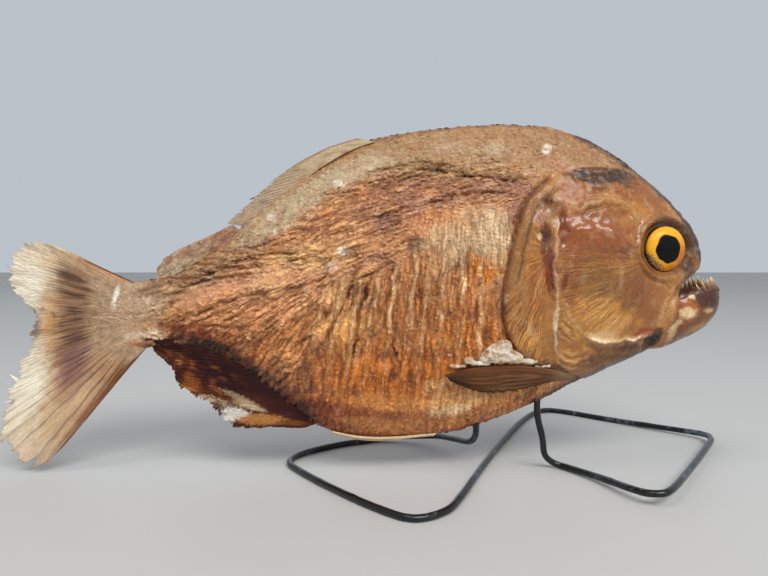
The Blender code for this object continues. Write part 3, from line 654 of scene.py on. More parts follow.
# Patches: middle x and z, half width, half height, tilt in degrees, colour, strength, and how soft its edge
# is where that isn't 0.5.
flankPatches = [
    # the back and the upper flank
    (19, 95, 37, 7, -4, "back", 0.75), (-27, 82, 20, 5, 33, "backRear", 0.9),
    (-11, 92, 17, 4, 20, "backRear", 0.8), (-38, 75, 9, 4, 30, "backRear", 0.7),
    (33, 99, 4, 3, 0, "backRear", 0.5), (19, 100, 6, 2, 4, "backRear", 0.5, 0.6),
    (50, 95, 7, 3, -20, "upperRed", 0.45), (10, 87, 31, 4, 0, "upperRed", 0.7),
    (-11, 77, 17, 6, 20, "upperRed", 0.35), (35, 87, 12, 3, -6, "shoulder", 0.9),
    (37, 80, 5, 3, 50, "shoulder", 0.8), (10, 83, 20, 2, 4, "shoulder", 0.55),
    (20, 88, 16, 1.5, -2, "crevice", 0.35, 0.6), (13, 79, 11, 3, 3, "orange", 0.35, 0.6),
    (1, 78, 4, 3, 30, "purple", 0.8, 0.4), (7, 80, 3, 4, 70, "purple", 0.6),
    (-3, 66, 7, 3, 28, "purple", 0.35), (9, 71, 3, 3, 60, "green", 0.75, 0.4),
    # scales and ribs behind the gill cover
    (25, 72, 12, 9, 0, "frontTan", 0.8, 0.4), (31, 73, 6, 9, 0, "scaleGrey", 0.75, 0.35),
    (19, 70, 8, 8, 0, "scaleGrey", 0.55), (12, 49, 26, 18, 0, "ribBrown", 0.75, 0.45),
    (27, 63, 5, 5, 0, "ribOrange", 0.9, 0.4), (25, 46, 10, 10, 0, "ribOrange", 0.4),
    (33, 55, 2, 7, 5, "shoulder", 0.55, 0.4),
    # the belly
    (5, 33, 26, 9, -3, "belt", 0.9, 0.45), (-15, 28, 11, 6, -10, "ribOrange", 0.6),
    (-1, 24, 20, 4, 0, "bellyGold", 0.5), (23, 25, 15, 4, 10, "bellyPale", 0.55),
    (39, 27, 10, 3, 20, "bellyFront", 0.7, 0.4), (20, 21, 7, 2, 10, "white", 0.65),
    (18, 30, 4, 2, 60, "bellyPale", 0.9), (13, 29, 3, 2, 60, "bellyPale", 0.8),
    (24, 31, 3, 2, 20, "bellyPale", 0.8), (47, 36, 10, 1.5, -14, "bellyPale", 0.6),
    (50, 30, 6, 2, 35, "bellyPale", 0.6), (33, 28, 7, 1, 22, "throat", 0.4),
    (43, 26, 6, 1.5, 32, "throat", 0.6), (-19, 21, 9, 3, -12, "red", 0.7),
    # the rear flank
    (-14, 50, 9, 14, 20, "goldTan", 0.95, 0.6), (-26, 66, 15, 5, 18, "goldTan", 0.85, 0.6),
    (-34, 55, 24, 10, 12, "rearPink", 0.65), (-35, 58, 11, 4, 12, "goldTan", 0.6),
    (-43, 43, 10, 3, -8, "rearDark", 0.75), (-31, 42, 14, 7, 0, "rearLow", 0.6),
    (-33, 46, 4, 3, 20, "crevice", 0.5, 0.6), (-48, 64, 14, 3, 20, "rearDark", 0.5),
    (-53, 44, 11, 3, -12, "orange", 0.5), (-15, 67, 13, 3, 22, "frontTan", 0.3),
    (-38, 72, 9, 2, 25, "rearDark", 0.35), (-24, 34, 11, 6, -20, "rearDark", 0.35, 0.6),
    (-19, 40, 3, 5, 30, "shoulder", 0.5), (-23, 36, 2, 3, 30, "crevice", 0.5),
    (-27, 44, 9, 2, 38, "rearDark", 0.35), (-29, 23, 10, 3, -28, "wine", 0.75),
    (-17, 17, 10, 2, -14, "finRed", 0.7), (-15, 22, 10, 3, -8, "finRed", 0.55),
    (-3, 20, 14, 2, -4, "finRed", 0.5, 0.6), (-21, 28, 2, 2, 0, "deepPurple", 0.8),
    # the tail stem
    (-87, 50, 18, 13, 0, "stem", 0.95, 0.3), (-72, 54, 10, 7, 0, "stem", 0.7),
    (-90, 54, 3, 7, 0, "stemDark", 0.6, 0.9), (-69, 44, 4, 2, -8, "stemPale", 0.95),
    (-76, 43, 5, 2, 10, "stemPale", 0.7, 0.6), (-69, 54, 5, 2, 10, "stemPale", 0.5, 0.6),
    (-61, 66, 4, 1.5, 25, "stemPale", 0.7), (-65, 62, 8, 2.5, 28, "stemDark", 0.95, 0.6),
    (-72, 57, 6, 1.5, 14, "stemDark", 0.8, 0.6), (-74, 40, 11, 1.5, 8, "russet", 0.8, 0.6),
    (-80, 37, 8, 2, 34, "russet", 0.9, 0.7), (-79, 39, 7, 2, 35, "orange", 0.6),
    (-87, 43, 6, 4, 40, "purple", 0.35),
    # white flecks
    (-13, 89, 2, 1, -15, "white", 0.8, 0.4), (-33, 79, 2, 1, 0, "white", 0.85, 0.4),
    (-32, 75, 1, 1, 0, "white", 0.9, 0.4), (-12, 69, 1.5, 1.5, -30, "white", 0.95, 0.3),
    (-15, 64, 2.5, 1.5, 20, "white", 0.4), (48, 99, 1.5, 2, -30, "white", 0.95, 0.3),
    (-82, 55, 1, 4, -14, "white", 0.85, 0.4),
]
headPatches = [
    # the cheek
    (62, 56, 14, 18, 0, "cheek", 0.9, 0.35), (60, 73, 13, 8, 0, "cheekUp", 0.85, 0.4),
    (62, 50, 12, 8, 0, "cheekLow", 0.8), (60, 61, 10, 7, 0, "cheekOlive", 0.6),
    (62, 69, 12, 2.5, -4, "underEye", 0.55), (53, 66, 3, 14, 4, "cheekUp", 0.5),
    (62, 80, 8, 3, 0, "underEye", 0.55), (74, 57, 5, 9, 0, "russet", 0.6, 0.7),
    (57, 85, 7, 4, 10, "cheekUp", 0.6), (53, 87, 4, 3, 0, "cheekUp", 0.6, 0.6),
    (66, 47, 6, 3, 10, "ridge", 0.35, 0.6), (64, 44, 5, 2, -8, "bone", 0.6, 0.45),
    (70, 58, 4, 7, 0, "underEye", 0.5, 0.6),
    # the gill cover and the groove before it
    (41, 56, 7, 17, 8, "opercle", 0.8, 0.4), (41, 42, 5, 5, 30, "cheekLow", 0.5),
    (38, 60, 2, 6, 10, "scaleGrey", 0.4), (43, 60, 3, 9, 6, "orange", 0.35, 0.6),
    (46.5, 66, 2, 11, 8, "grooveRed", 0.9, 0.35), (45.5, 74, 1.5, 5, 6, "socket", 0.6, 0.45),
    (50.5, 76, 1.5, 6, 0, "grooveRed", 0.85, 0.4), (50.5, 60, 1, 3, 0, "grooveRed", 0.85, 0.4),
    # the pale pink patch on the gill cover is a painted highlight
    (46.5, 82, 4, 4, 0, "snout", 0.55), (44.5, 78.5, 2.5, 2, 35, "pinkFacet", 0.75, 0.4),
    (46.5, 83, 1.5, 1, 0, "nodule", 0.95, 0.35), (43.5, 73, 1, 1, 0, "white", 0.9, 0.4),
    (49, 50, 1, 4, 0, "white", 0.65), (34, 56, 1, 2, 10, "white", 0.85, 0.4),
    # the nape, the forehead and the snout
    (62, 91, 11, 3, 0, "nape", 1, 0.4), (69, 91, 8, 3, -14, "nape", 0.95, 0.4),
    (62, 88, 4, 2, -10, "deepPurple", 0.6), (78, 85, 9, 4, -42, "forehead", 0.7),
    (70, 86, 5, 2.5, -20, "cheekUp", 0.6), (91.5, 74, 4, 8, 18, "snout", 0.9, 0.45),
    (90, 64, 3.5, 3, 0, "snout", 0.8),
    # below the eye, the corner of the mouth and the throat
    (76.5, 66, 3, 5, 30, "underEye", 0.6), (79, 54, 5, 7, 0, "lip", 0.55),
    (83.5, 52, 2, 6, -24, "ridge", 0.35), (77.5, 45, 4, 1.5, 8, "red", 0.9, 0.4),
    # the near-black patch in the pit at 80.5, 42.5 is painted shade
    (80.5, 42.5, 2.5, 2, 20, "hole", 1, 0.3), (82, 44.5, 1.5, 2, -20, "socket", 0.85, 0.35),
    (67, 37.5, 12, 3.5, 12, "throat", 0.65), (74, 40, 4, 1.5, 12, "throat", 0.8),
    # the dark patch at 51, 33.5 is a painted shadow under the lower edge of the gill cover
    (53.5, 37, 5, 3.5, 0, "cheekLow", 0.5), (51, 33.5, 8, 3, -24, "snout", 0.85, 0.6),
]
jawPatches = [
    (93, 50, 12, 12, 0, "jaw", 1, 0.3), (97, 55, 7, 3.4, 0, "jawDark", 0.9, 0.45),
    (101.4, 52, 2.4, 6, 10, "jawDark", 0.75), (90, 51.6, 3, 4.6, -26, "jawOrange", 0.8),
    (87, 55, 2.2, 4.6, -24, "red", 0.75), (89.4, 57.2, 2.6, 1.4, 0, "jawDark", 0.6),
    (89.2, 50.4, 1.6, 2.8, -30, "purple", 0.6), (89.8, 51, 3, 1.8, 10, "jawPale", 0.95, 0.45),
    (91.2, 56, 1.2, 0.8, 0, "jawPale", 0.8, 0.4), (97.2, 51, 2.4, 0.9, 0, "jawPale", 0.6),
    (86.6, 47.2, 2.6, 1.2, 40, "jawPale", 0.7), (86, 44.6, 1.6, 2.6, -10, "jawPale", 0.6),
    (94, 46, 4.6, 1.4, 24, "cheekLow", 0.45, 0.6), (90.6, 46.4, 3.4, 2.2, 20, "russet", 0.5, 0.6),
    (93, 41.4, 9, 1.9, 20, "jawDark", 0.8),
]


def plain(name, like):
    return np.tile(palette[name], (len(like), 1))


def blend(colours, *layers):
    # lays colours of the palette over each other in their order, each by its weight
    for name, weight in layers:
        colours = colours + (palette[name] - colours) * np.clip(weight, 0, 1)[:, None]
    return colours


def addPatches(colours, x, z, patches, seed, within):
    for index, (px, pz, rx, rz, tilt, name, strength, *edge) in enumerate(patches):
        soft = edge[0] if edge else 0.5
        reach = 1.6 * max(rx, rz)
        near = (np.abs(x - px) < reach) & (np.abs(z - pz) < reach)
        if not near.any():
            continue
        dx, dz = x[near] - px, z[near] - pz
        c, s = math.cos(math.radians(tilt)), math.sin(math.radians(tilt))
        along, across = (dx * c + dz * s) / rx, (-dx * s + dz * c) / rz
        grain = max(0.8, min(rx, rz) / 2.5)
        ragged = 0.3 * noise(x[near] / grain, z[near] / grain, seed + 40 + index) \
            + 0.15 * noise(x[near] / grain * 2.3, z[near] / grain * 2.3, seed + 90 + index)
        distance = np.hypot(along, across) + ragged
        weight = strength * fall(distance, 1 - soft, 1 + 0.4 * soft) * within[near]
        colours[near] = blend(colours[near], (name, weight))
    return colours


def backAndBelly(x):
    rows = bodyRows
    return np.interp(x, rows[:, 0], rows[:, 1]), np.interp(x, rows[:, 2], rows[:, 3])


def markings(x, z, seed):
    # the colour of the skin at points of one side, from its relief and its patches
    def wave(sizeX, sizeZ, n):
        return noise(x / sizeX, z / sizeZ, seed + n)

    f = relief(x, z, seed)
    seenX = x + 0.8 * wave(6, 6, 50)
    seenZ = z + 0.8 * wave(6, 6, 51)
    colours = blend(plain("leather", x), ("backTan", 0.9 * f.backZone))
    onBody, onHead = 1 - f.head, f.head * (1 - f.jaw)
    colours = addPatches(colours, seenX, seenZ, flankPatches, seed, onBody)
    colours += (palette["opercle"] * 0.95 - colours) * (onHead + f.jaw).clip(0, 1)[:, None]
    colours = addPatches(colours, seenX, seenZ, headPatches, seed, onHead)
    colours = addPatches(colours, seenX, seenZ, jawPatches, seed, f.jaw)

    # amber varnish lies thickest low on the flank and over the head
    amber = np.clip(np.maximum(onHead + f.jaw, 1 - smoothStep(z, 40, 66)), 0, 1) * (1 - f.stemZone)
    colours *= 1 - amber[:, None] * (1 - np.array((0.97, 0.79, 0.55)))

    colours *= (1 + 0.12 * onBody * (1 - f.backZone) * (1 - f.stemZone))[:, None]

    # ribs are pale ridges with brown and painted shade between them and in their folds
    ribs = f.ribZone
    colours = blend(colours, ("ribPale", 0.8 * ribs * smoothStep(f.ribLine, 0.4, 0.95)
        * (0.7 + 0.8 * wave(2.2, 4, 52)) * (0.4 + 0.75 * smoothStep(z, 34, 52))))
    between = ribs * fall(f.ribLine, 0, 0.45)
    colours = blend(
        colours,
        ("ribOrange", 0.45 * between * smoothStep(wave(3, 5, 61), -0.3, 0.5)),
        ("ribShade", 0.7 * between * smoothStep(wave(3.4, 6, 62), -0.1, 0.6)),
        ("crevice", 0.6 * ribs * smoothStep(-f.ribFolds, 0.1, 0.55)))

    # painted highlight on the crests and painted shade in the valleys of the wrinkles
    crest = f.fanZone * f.fan + 0.9 * f.upperZone * f.upper + 0.3 * f.rough * f.shallow \
        + 0.22 * f.rough * f.fine + 0.4 * f.cheekRays + 0.6 * f.coverRays
    colours *= (1 + 0.26 * np.clip(crest, -1, 1.2))[:, None]
    colours = blend(
        colours,
        ("crestHighlightGold", 0.5 * smoothStep(crest, 0.15, 1) * (1 - f.head)),
        ("valley", 0.52 * smoothStep(-crest, 0.05, 0.6) * (1 - 0.6 * f.head)))

    # reddish streaks lie along the back, and a smooth band behind the ribs is pinker
    streaks = noise(x / 7, (f.bodyDown + 0.12 * x) / 1.9, seed + 63)
    colours = blend(
        colours,
        ("upperRed", 0.55 * smoothStep(streaks, 0.05, 0.7) * f.backZone * onBody * (1 - f.stemZone)),
        ("backRear", 0.35 * smoothStep(-streaks, 0.2, 0.8) * f.backZone * onBody),
        ("rearPink", 0.6 * f.calm * onBody))

    # mottling from large to small
    mottle = layered(x / 7, z / 7, seed + 53, 3)
    colours *= (1 + 0.12 * mottle)[:, None]
    colours = blend(
        colours,
        ("orange", 0.3 * smoothStep(wave(5, 6, 54), 0.15, 0.8) * onBody * (1 - f.backZone)
         * (1 - f.stemZone)),
        ("underEye", 0.35 * smoothStep(wave(4, 5, 59), 0.1, 0.8) * onHead),
        ("ridge", 0.22 * smoothStep(wave(3, 4, 60), 0.2, 0.9) * onHead),
        ("frontTan", 0.35 * smoothStep(wave(4, 5, 55), 0.25, 0.9) * onBody),
        ("purple", 0.35 * smoothStep(wave(4.4, 4, 56), 0.45, 0.95) * onBody))
    speckle = smoothStep(wave(1.1, 1.1, 57), 0.45, 0.9)
    colours = blend(colours, ("crevice", 0.22 * speckle * onBody))

    # dark rims along the edges of the side view: thin along the back, broad over the forehead, under the
    # throat and along the belly
    for name, line, strength, near, far in (
        ("backEdge", bodyRows[200:300:20, :2], 0.75, 0.5, 2), ("nape", bodyRows[300::20, :2], 0.85, 1.2, 4),
        ("snout", bodyRows[280:380:20, 2:4], 0.85, 1, 3.6),
        ("red", bodyRows[180:280:20, 2:4], 0.6, 0.6, 2.4),
    ):
        rimDistance = pathField(x, z, line)[0] + 0.7 * wave(3.5, 3.5, 66)
        colours = blend(colours, (name, strength * fall(rimDistance, near, far) * (1 - f.jaw)))

    # where the anal fin begins the skin is stained dark, raggedly
    aboveFin = z - backAndBelly(x)[1] + 1.8 * wave(3, 3, 64)
    finRoot = window(x, -66, -20, 6) * fall(aboveFin, 3, 13) * onBody
    colours = blend(
        colours,
        ("finRed", 0.9 * finRoot),
        ("finDark", 0.95 * finRoot**2 * smoothStep(wave(4.2, 3, 65), -0.75, 0.1)),
        # painted shade darkens the creases, their darkest cores and the groove next to the strap; the pale of
        # lips and ridges is partly painted highlight
        ("crevice", 0.5 * f.dark),
        ("creaseCoreShade", 0.4 * smoothStep(f.dark, 0.6, 0.95)),
        ("ridge", 0.75 * f.pale),
        ("bone", 0.85 * smoothStep(f.pale, 0.62, 0.95)),
        ("ridge", 0.65 * f.ridge * (0.8 + 0.3 * wave(3, 3, 58))),
        ("white", 0.5 * f.ridge * fall(z, 46, 55)),
        ("strap", 0.65 * f.strap),
        ("socket", 0.7 * f.strapGroove))
    # painted shadow: a dark line under the rear edge of the gill cover
    gillEdgeShadow = 0.7 + 0.15 * smoothStep(z, 50, 64)
    colours = blend(colours, ("crevice", gillEdgeShadow * bell(f.ahead + 0.5, 0.7)
        * fall(f.gillDistance, 1, 3)))

    # painted shadow: the socket is darkened round the glass eye, most of all above it
    rim = 0.45 + 0.55 * np.cos(f.bearing - 1)
    colours = blend(
        colours,
        ("socket", (0.35 + 0.65 * rim) * fall(f.around, 7.4, 8.8)),
        ("snout", 0.75 * np.clip(rim, 0, 1) * bell(f.around - 8.6, 1.4)))
    gloss = np.clip(onHead + f.jaw, 0, 1) * (1 - 0.6 * f.strap) * (1 - 0.8 * smoothStep(z, 77, 83)) \
        * (1 - 0.95 * smoothStep(x, 82, 88) * onHead)
    # and low on the belly
    gloss = np.maximum(gloss, 0.5 * onBody * fall(z, 30, 50) * (1 - f.stemZone))
    upFolds = np.clip(0.2 * onBody + 0.5 * f.upperZone, 0, 1) * (1 - 0.6 * f.backZone) * (1 - f.ribZone)
    upright = np.maximum(0.6 * f.ribZone, 0.6 * f.shoulder * (1 - f.backZone))
    folds = np.column_stack((0.8 * f.fanZone * (1 - 0.7 * finRoot),
        upFolds * (1 - f.fanZone) * (1 - f.shoulder), upright))
    rays = np.column_stack((0.6 * f.cheekZone, 0.75 * f.coverZone, 0.5 * smoothStep(-x, 76, 84)))
    return np.clip(colours, 0.002, 1), gloss, folds, rays, f.line


def bothSides(x, y, z, evaluate):
    # evaluates each side with its own seeds and blends them where they meet along the back and the belly
    share = smoothStep(y, -1.2, 1.2)
    rightOnes, leftOnes = share < 1, share > 0
    parts = {}
    for key, chosen, seed in (("right", rightOnes, 100), ("left", leftOnes, 900)):
        found = evaluate(x[chosen], z[chosen], seed)
        parts[key] = [np.asarray(v) for v in found]
    mixed = []
    for right, left in zip(parts["right"], parts["left"]):
        whole = np.zeros((len(x), *right.shape[1:]))
        weight = share.reshape(-1, *([1] * (right.ndim - 1)))
        whole[rightOnes] += (right * (1 - weight[rightOnes]))
        whole[leftOnes] += (left * weight[leftOnes])
        mixed.append(whole)
    return mixed


studio = {
    "floorSize": 6.0, "floorColour": "#b9b7b3", "skyColour": "#d3dbe4", "sky": 0.76,
    "cameraBack": 184.62, "cameraUp": 66.5, "cameraDown": 2.672, "lens": 28.125,
}

floor = primitive("floor", "plane", size=studio["floorSize"], location=(0, 0, 0))
floorPaint, *_ = startMaterial("mattPaintedBoard", Base_Color=paint(studio["floorColour"]), Roughness=0.6)
floor.data.materials.append(floorPaint)

camera = bpy.data.objects.new("camera", bpy.data.cameras.new("camera"))
bpy.context.scene.collection.objects.link(camera)
camera.location = toFrame((0.0, -studio["cameraBack"], studio["cameraUp"]))
camera.rotation_euler = (math.radians(90 - studio["cameraDown"]), 0, 0)
camera.data.lens, camera.data.sensor_width = studio["lens"], 36.0
camera.data.clip_start, camera.data.clip_end = 0.01, 20
bpy.context.scene.camera = camera

world = bpy.data.worlds.new("studio")
bpy.context.scene.world = world
world.use_nodes = True
world.node_tree.nodes["Background"].inputs["Color"].default_value = paint(studio["skyColour"])
world.node_tree.nodes["Background"].inputs["Strength"].default_value = studio["sky"]
bpy.context.scene.view_settings.view_transform = "Standard"

for name, place3, size, power in (
    ("windowLight", (0.26, -0.70, 0.74), (0.95, 0.34), 9.0),
    ("topLight", (-0.30, -0.35, 0.80), (0.25, 0.25), 1.2),
    ("fillLight", (0.9, -0.9, 0.35), (0.9, 0.9), 0.5),
    ("backLight", (-0.2, 1.1, 0.7), (0.9, 0.9), 1.0),
):
    light = bpy.data.lights.new(name, "AREA")
    light.shape, light.size, light.size_y, light.energy = "ELLIPSE", *size, power
    lamp = bpy.data.objects.new(name, light)
    bpy.context.scene.collection.objects.link(lamp)
    lamp.location = place3
    lamp.rotation_euler = (Vector((0, -0.02, 0.06)) - Vector(place3)).to_track_quat("-Z", "Y").to_euler()
say("the studio is set")


skin = {
    "rings": 300, "sides": 120, "sunk": 0.30, "voxel": 0.42, "smoothing": 6, "triangles": 196000,
    "jawRings": 80, "jawSides": 72, "jawSteps": 160,
}

body = primitive("skin", "uv_sphere", segments=skin["sides"], ring_count=skin["rings"], radius=1.0)
rise, turn, poles = ballGrid(body)
bodyT = rise * lastStation
shaped = bodySurface(bodyT, turn % (2 * math.pi), -skin["sunk"])
for pole in np.flatnonzero(poles):
    row = bodyRows[int(round(bodyT[pole] * 20))]
    shaped[pole] = (row[0], 0.0, row[[1, 3]].mean())
place(body, toFrame(shaped))

lowerJaw = primitive("jaw", "uv_sphere", segments=skin["jawSides"], ring_count=skin["jawRings"], radius=1.0)
rise, turn, poles = ballGrid(lowerJaw)
jawSteps, halfTurn = np.arange(skin["jawSteps"] + 1), np.arange(181)
jawT, jawTurn = rise * skin["jawSteps"], turn / math.pi
wide, tall = rowsAt(np.abs(jawTurn) * halfTurn[-1], halfTurn, smoothLine(jawProfile, len(halfTurn))).T
rimX, rimZ, chinX, chinZ, jawWidth = rowsAt(jawT, jawSteps, smoothLine(jawSections, len(jawSteps))).T
wide, tall = np.where(poles, 0.0, wide), np.where(poles, 0.45, tall)
place(lowerJaw, toFrame(np.column_stack((
    chinX + tall * (rimX - chinX), np.sign(jawTurn) * wide * (jawWidth - skin["sunk"]),
    chinZ + tall * (rimZ - chinZ)))))
for obj in (body, lowerJaw):
    faceOutward(obj)
body = joinPieces("skin", [body, lowerJaw])
applyModifier(body, "REMESH", mode="VOXEL", voxel_size=skin["voxel"] / 1000, adaptivity=0.0)
applyModifier(body, "SMOOTH", factor=0.5, iterations=skin["smoothing"])
fish = toFish(points(body))
softness = bell(np.hypot((fish[:, 0] - 83.0) / 1.4, (fish[:, 2] - 49.5) / 2.6), 4.2)
paintGroup(body, "corner", softness)
applyModifier(body, "SMOOTH", factor=0.6, iterations=30, vertex_group="corner")
say(f"the skin is closed with {len(body.data.polygons)} faces")

fish, outward = toFish(points(body)), normals(body)
stand, = bothSides(fish[:, 0], fish[:, 1], fish[:, 2], lambda x, z, seed: [relief(x, z, seed).high])
# less relief where the side turns away, along the edges
flat = smoothStep(np.abs(outward[:, 1]), 0.05, 0.45)
inMouth = smoothStep(fish[:, 0], 86.5, 88.5) * (np.abs(fish[:, 2] - 60.5) < 3.5)
stand = stand * (0.25 + 0.75 * flat) * (1 - 0.8 * inMouth)
place(body, toFrame(fish + stand[:, None] * outward))
say("the skin has its relief")

paintGroup(body, "thin", 1 - 0.85 * smoothStep(toFish(points(body))[:, 0], 44, 52))
applyModifier(body, "DECIMATE", ratio=min(1.0, skin["triangles"] / (2 * len(body.data.polygons))),
              vertex_group="thin", vertex_group_factor=1.0)
body.vertex_groups.clear()
fish = toFish(points(body))
for word, values in zip(("marking", "gloss", "folds", "rays", "creaseShadeLine"), bothSides(*fish.T, markings)):
    store(body, word, values)
say("the skin is marked")


def fannedStreaks(focus, rate, reach, width):
    # fine folds that run out from a point of the side view: 0 in a fold and 1 between, then 1 on a crest
    offset = addNode("VectorMath", toFrame((focus[0], 0.0, focus[1])), bentSpot, operation="SUBTRACT")
    part = addNode("SeparateXYZ", offset).node.outputs
    turned = addNode("Math", part["X"], part["Z"], operation="ARCTAN2")
    across = addNode("Math", turned, rate, operation="MULTIPLY")
    level = addNode("VectorMath", offset, (1.0, 0.0, 1.0), operation="MULTIPLY")
    far = addNode("VectorMath", level, operation="LENGTH")
    along = addNode("Math", far, 1000 / reach, operation="MULTIPLY")
    streak = addNode("TexNoise", addNode("CombineXYZ", across, along, sideShift), 1.0, 1.5, 0.5)
    signed = addNode("Math", streak, 0.5, operation="SUBTRACT")
    apart = addNode("Math", signed, operation="ABSOLUTE")
    between = addNode("MapRange", apart, None, width, interpolation_type="SMOOTHSTEP")
    return between, addNode("MapRange", apart, width + 0.03, width + 0.15)


# Fish skin dried to leather and brushed with amber varnish: satin where it is scaly and rough, and
# glossy over the bare bones of the head.
# its colour also holds painted shade in folds and creases and painted highlight on wrinkle crests
skinFinish, tree, shader = startMaterial("varnishedDriedSkin", IOR=1.30, Coat_Roughness=0.17)
mixColour, timesColour = {"data_type": "RGBA"}, {"data_type": "RGBA", "blend_type": "MULTIPLY"}
spot = addNode("TexCoord", output="Object")
marking = addNode("Attribute", attribute_name="marking")
glossiness = addNode("Attribute", attribute_name="gloss", output="Fac")
mottle = addNode("TexNoise", spot, 1400.0, 3.0, 0.6)  # grain about 0.7 mm across
shade = addNode("MapRange", mottle, 0.3, 0.7, 0.74, 1.20)
tinted = addNode("Mix", 1.0, marking, shade, clamp_result=True, **timesColour)

# fine folds: over the rear flank, along the upper flank, along the ribs, on the cheek, on the gill cover
# and where the rays of the tail begin
wander = addNode("TexNoise", spot, 210.0, 2.0, output="Color")
wanderSigned = addNode("VectorMath", wander, (0.5, 0.5, 0.5), operation="SUBTRACT")
bentSpot = addNode("VectorMath", wanderSigned, (0.0026, 0.0026, 0.0026), spot, operation="MULTIPLY_ADD")
sideSign = addNode("Math", addNode("SeparateXYZ", spot, output="Y"), operation="SIGN")
sideShift = addNode("Math", sideSign, 3.7, operation="MULTIPLY")
zones = {}
for name in ("folds", "rays"):
    threeShares = addNode("Attribute", attribute_name=name, output="Vector")
    zones[name] = addNode("SeparateXYZ", threeShares).node.outputs
inFolds = onCrests = None
for focus, rate, reach, width, zone, part in (
    ((-6, 69), 30, 16, 0.075, "folds", "X"), ((76, 97), 62, 14, 0.075, "folds", "Y"),
    ((30, 278), 150, 12, 0.070, "folds", "Z"), ((78, 66), 44, 14, 0.055, "rays", "X"),
    ((47.5, 69), 34, 15, 0.060, "rays", "Y"), ((-58, 49.5), 34, 12, 0.070, "rays", "Z"),
):
    between, top = fannedStreaks(focus, rate, reach, width)
    closed = addNode("Math", 1.0, between, operation="SUBTRACT")
    weighted = addNode("Math", closed, zones[zone][part], operation="MULTIPLY")
    raisedHere = addNode("Math", top, zones[zone][part], operation="MULTIPLY")
    inFolds = addNode("Math", inFolds, weighted, operation="ADD") if inFolds else weighted
    onCrests = addNode("Math", onCrests, raisedHere, operation="ADD") if onCrests else raisedHere
folded = addNode("Math", inFolds, 0.85, operation="MINIMUM")
crestHighlightMask = addNode("Math", onCrests, 1.0, operation="MINIMUM")
# painted shade darkens the folds, and a painted highlight lightens the crests between them
foldShade = addNode("Mix", folded, tinted, (0.46, 0.29, 0.19, 1.0), **timesColour)
crestHighlight = addNode("Mix", crestHighlightMask, foldShade, (1.50, 1.60, 1.72, 1.0), **timesColour)
bloom = addNode("TexNoise", spot, 620.0, 3.0, 0.65)  # whitish bloom of old varnish in specks of about 1.6 mm
bloomShare = addNode("MapRange", bloom, 0.55, 0.72, None, 0.24)
dull = addNode("MapRange", glossiness, None, None, 1.0, 0.25)
bloomHere = addNode("Math", bloomShare, dull, operation="MULTIPLY")
bloomed = addNode("Mix", bloomHere, crestHighlight, paint("#dcc49c"), **mixColour)
# painted shade: creases are drawn as crisp dark lines of uneven width from a broad smooth field
creaseShare = addNode("Attribute", attribute_name="creaseShadeLine", output="Fac")
uneven = addNode("TexNoise", spot, 900.0, 2.0)
creaseField = addNode("Math", uneven, 0.30, creaseShare, operation="MULTIPLY_ADD")
creaseShadeMask = addNode("MapRange", creaseField, 0.86, 0.98, None, 0.88, interpolation_type="SMOOTHSTEP")
feed("Base Color", addNode("Mix", creaseShadeMask, bloomed, (0.20, 0.12, 0.10, 1.0), **timesColour))

patchy = addNode("TexNoise", spot, 260.0, 2.0)
bodyRough = addNode("MapRange", patchy, 0.3, 0.7, 0.60, 0.40)
headRough = addNode("MapRange", patchy, 0.3, 0.7, 0.38, 0.22)
feed("Roughness", addNode("Mix", glossiness, bodyRough, headRough))
feed("Coat Weight", addNode("MapRange", glossiness, None, None, 0.15, 0.60))
pores = addNode("TexVoronoi", spot, 1100.0)  # about 0.9 mm
raised = addNode("Mix", 0.5, pores, addNode("TexNoise", spot, 2600.0, 2.0))
sunk = addNode("Math", folded, -1.4, raised, operation="MULTIPLY_ADD")
feed("Normal", addNode("Bump", 0.55, 0.00018, None, sunk))

finishPiece(body, skinFinish, "dried_skin", "head", "lower_jaw", "gill_cover_right", "gill_cover_left",
            "trunk", "tail_stem")


# Small scales, about a millimetre long, lie over the flanks and the back with their free edges tailward.
scales = {
    "pitch": 0.98, "across": 0.90, "length": 0.84, "halfWidth": 0.62, "rise": 0.10, "edgeRise": 0.05,
    "sunk": 0.13, "rearX": -89.0, "frontX": 80.0, "jitter": 0.30, "bakePatch": 0.003, "bakeSpan": 240.0,
    "split": -20,
}

oneScale = primitive("oneScale", "cone", vertices=7, radius1=1.0, radius2=0.0, depth=1.0,
    end_fill_type="TRIFAN")
scaleCorners = points(oneScale)
scaleFaces = np.array([list(face.vertices) for face in oneScale.data.polygons])
bpy.data.objects.remove(oneScale)
rimOnes = np.hypot(scaleCorners[:, 0], scaleCorners[:, 1]) > 0.5
tailward = scaleCorners[:, 0].copy()
sideward = scaleCorners[:, 1] * np.where(rimOnes, 1 - 0.25 * np.clip(-tailward, 0, 1), 1)
lift = np.where(rimOnes, scales["edgeRise"] - (scales["sunk"] + scales["edgeRise"])
    * smoothStep(-tailward, -0.5, 0.6),
                np.where(scaleCorners[:, 2] > 0, scales["rise"], -scales["sunk"]))
tailward = np.where(rimOnes, tailward, 0.15)

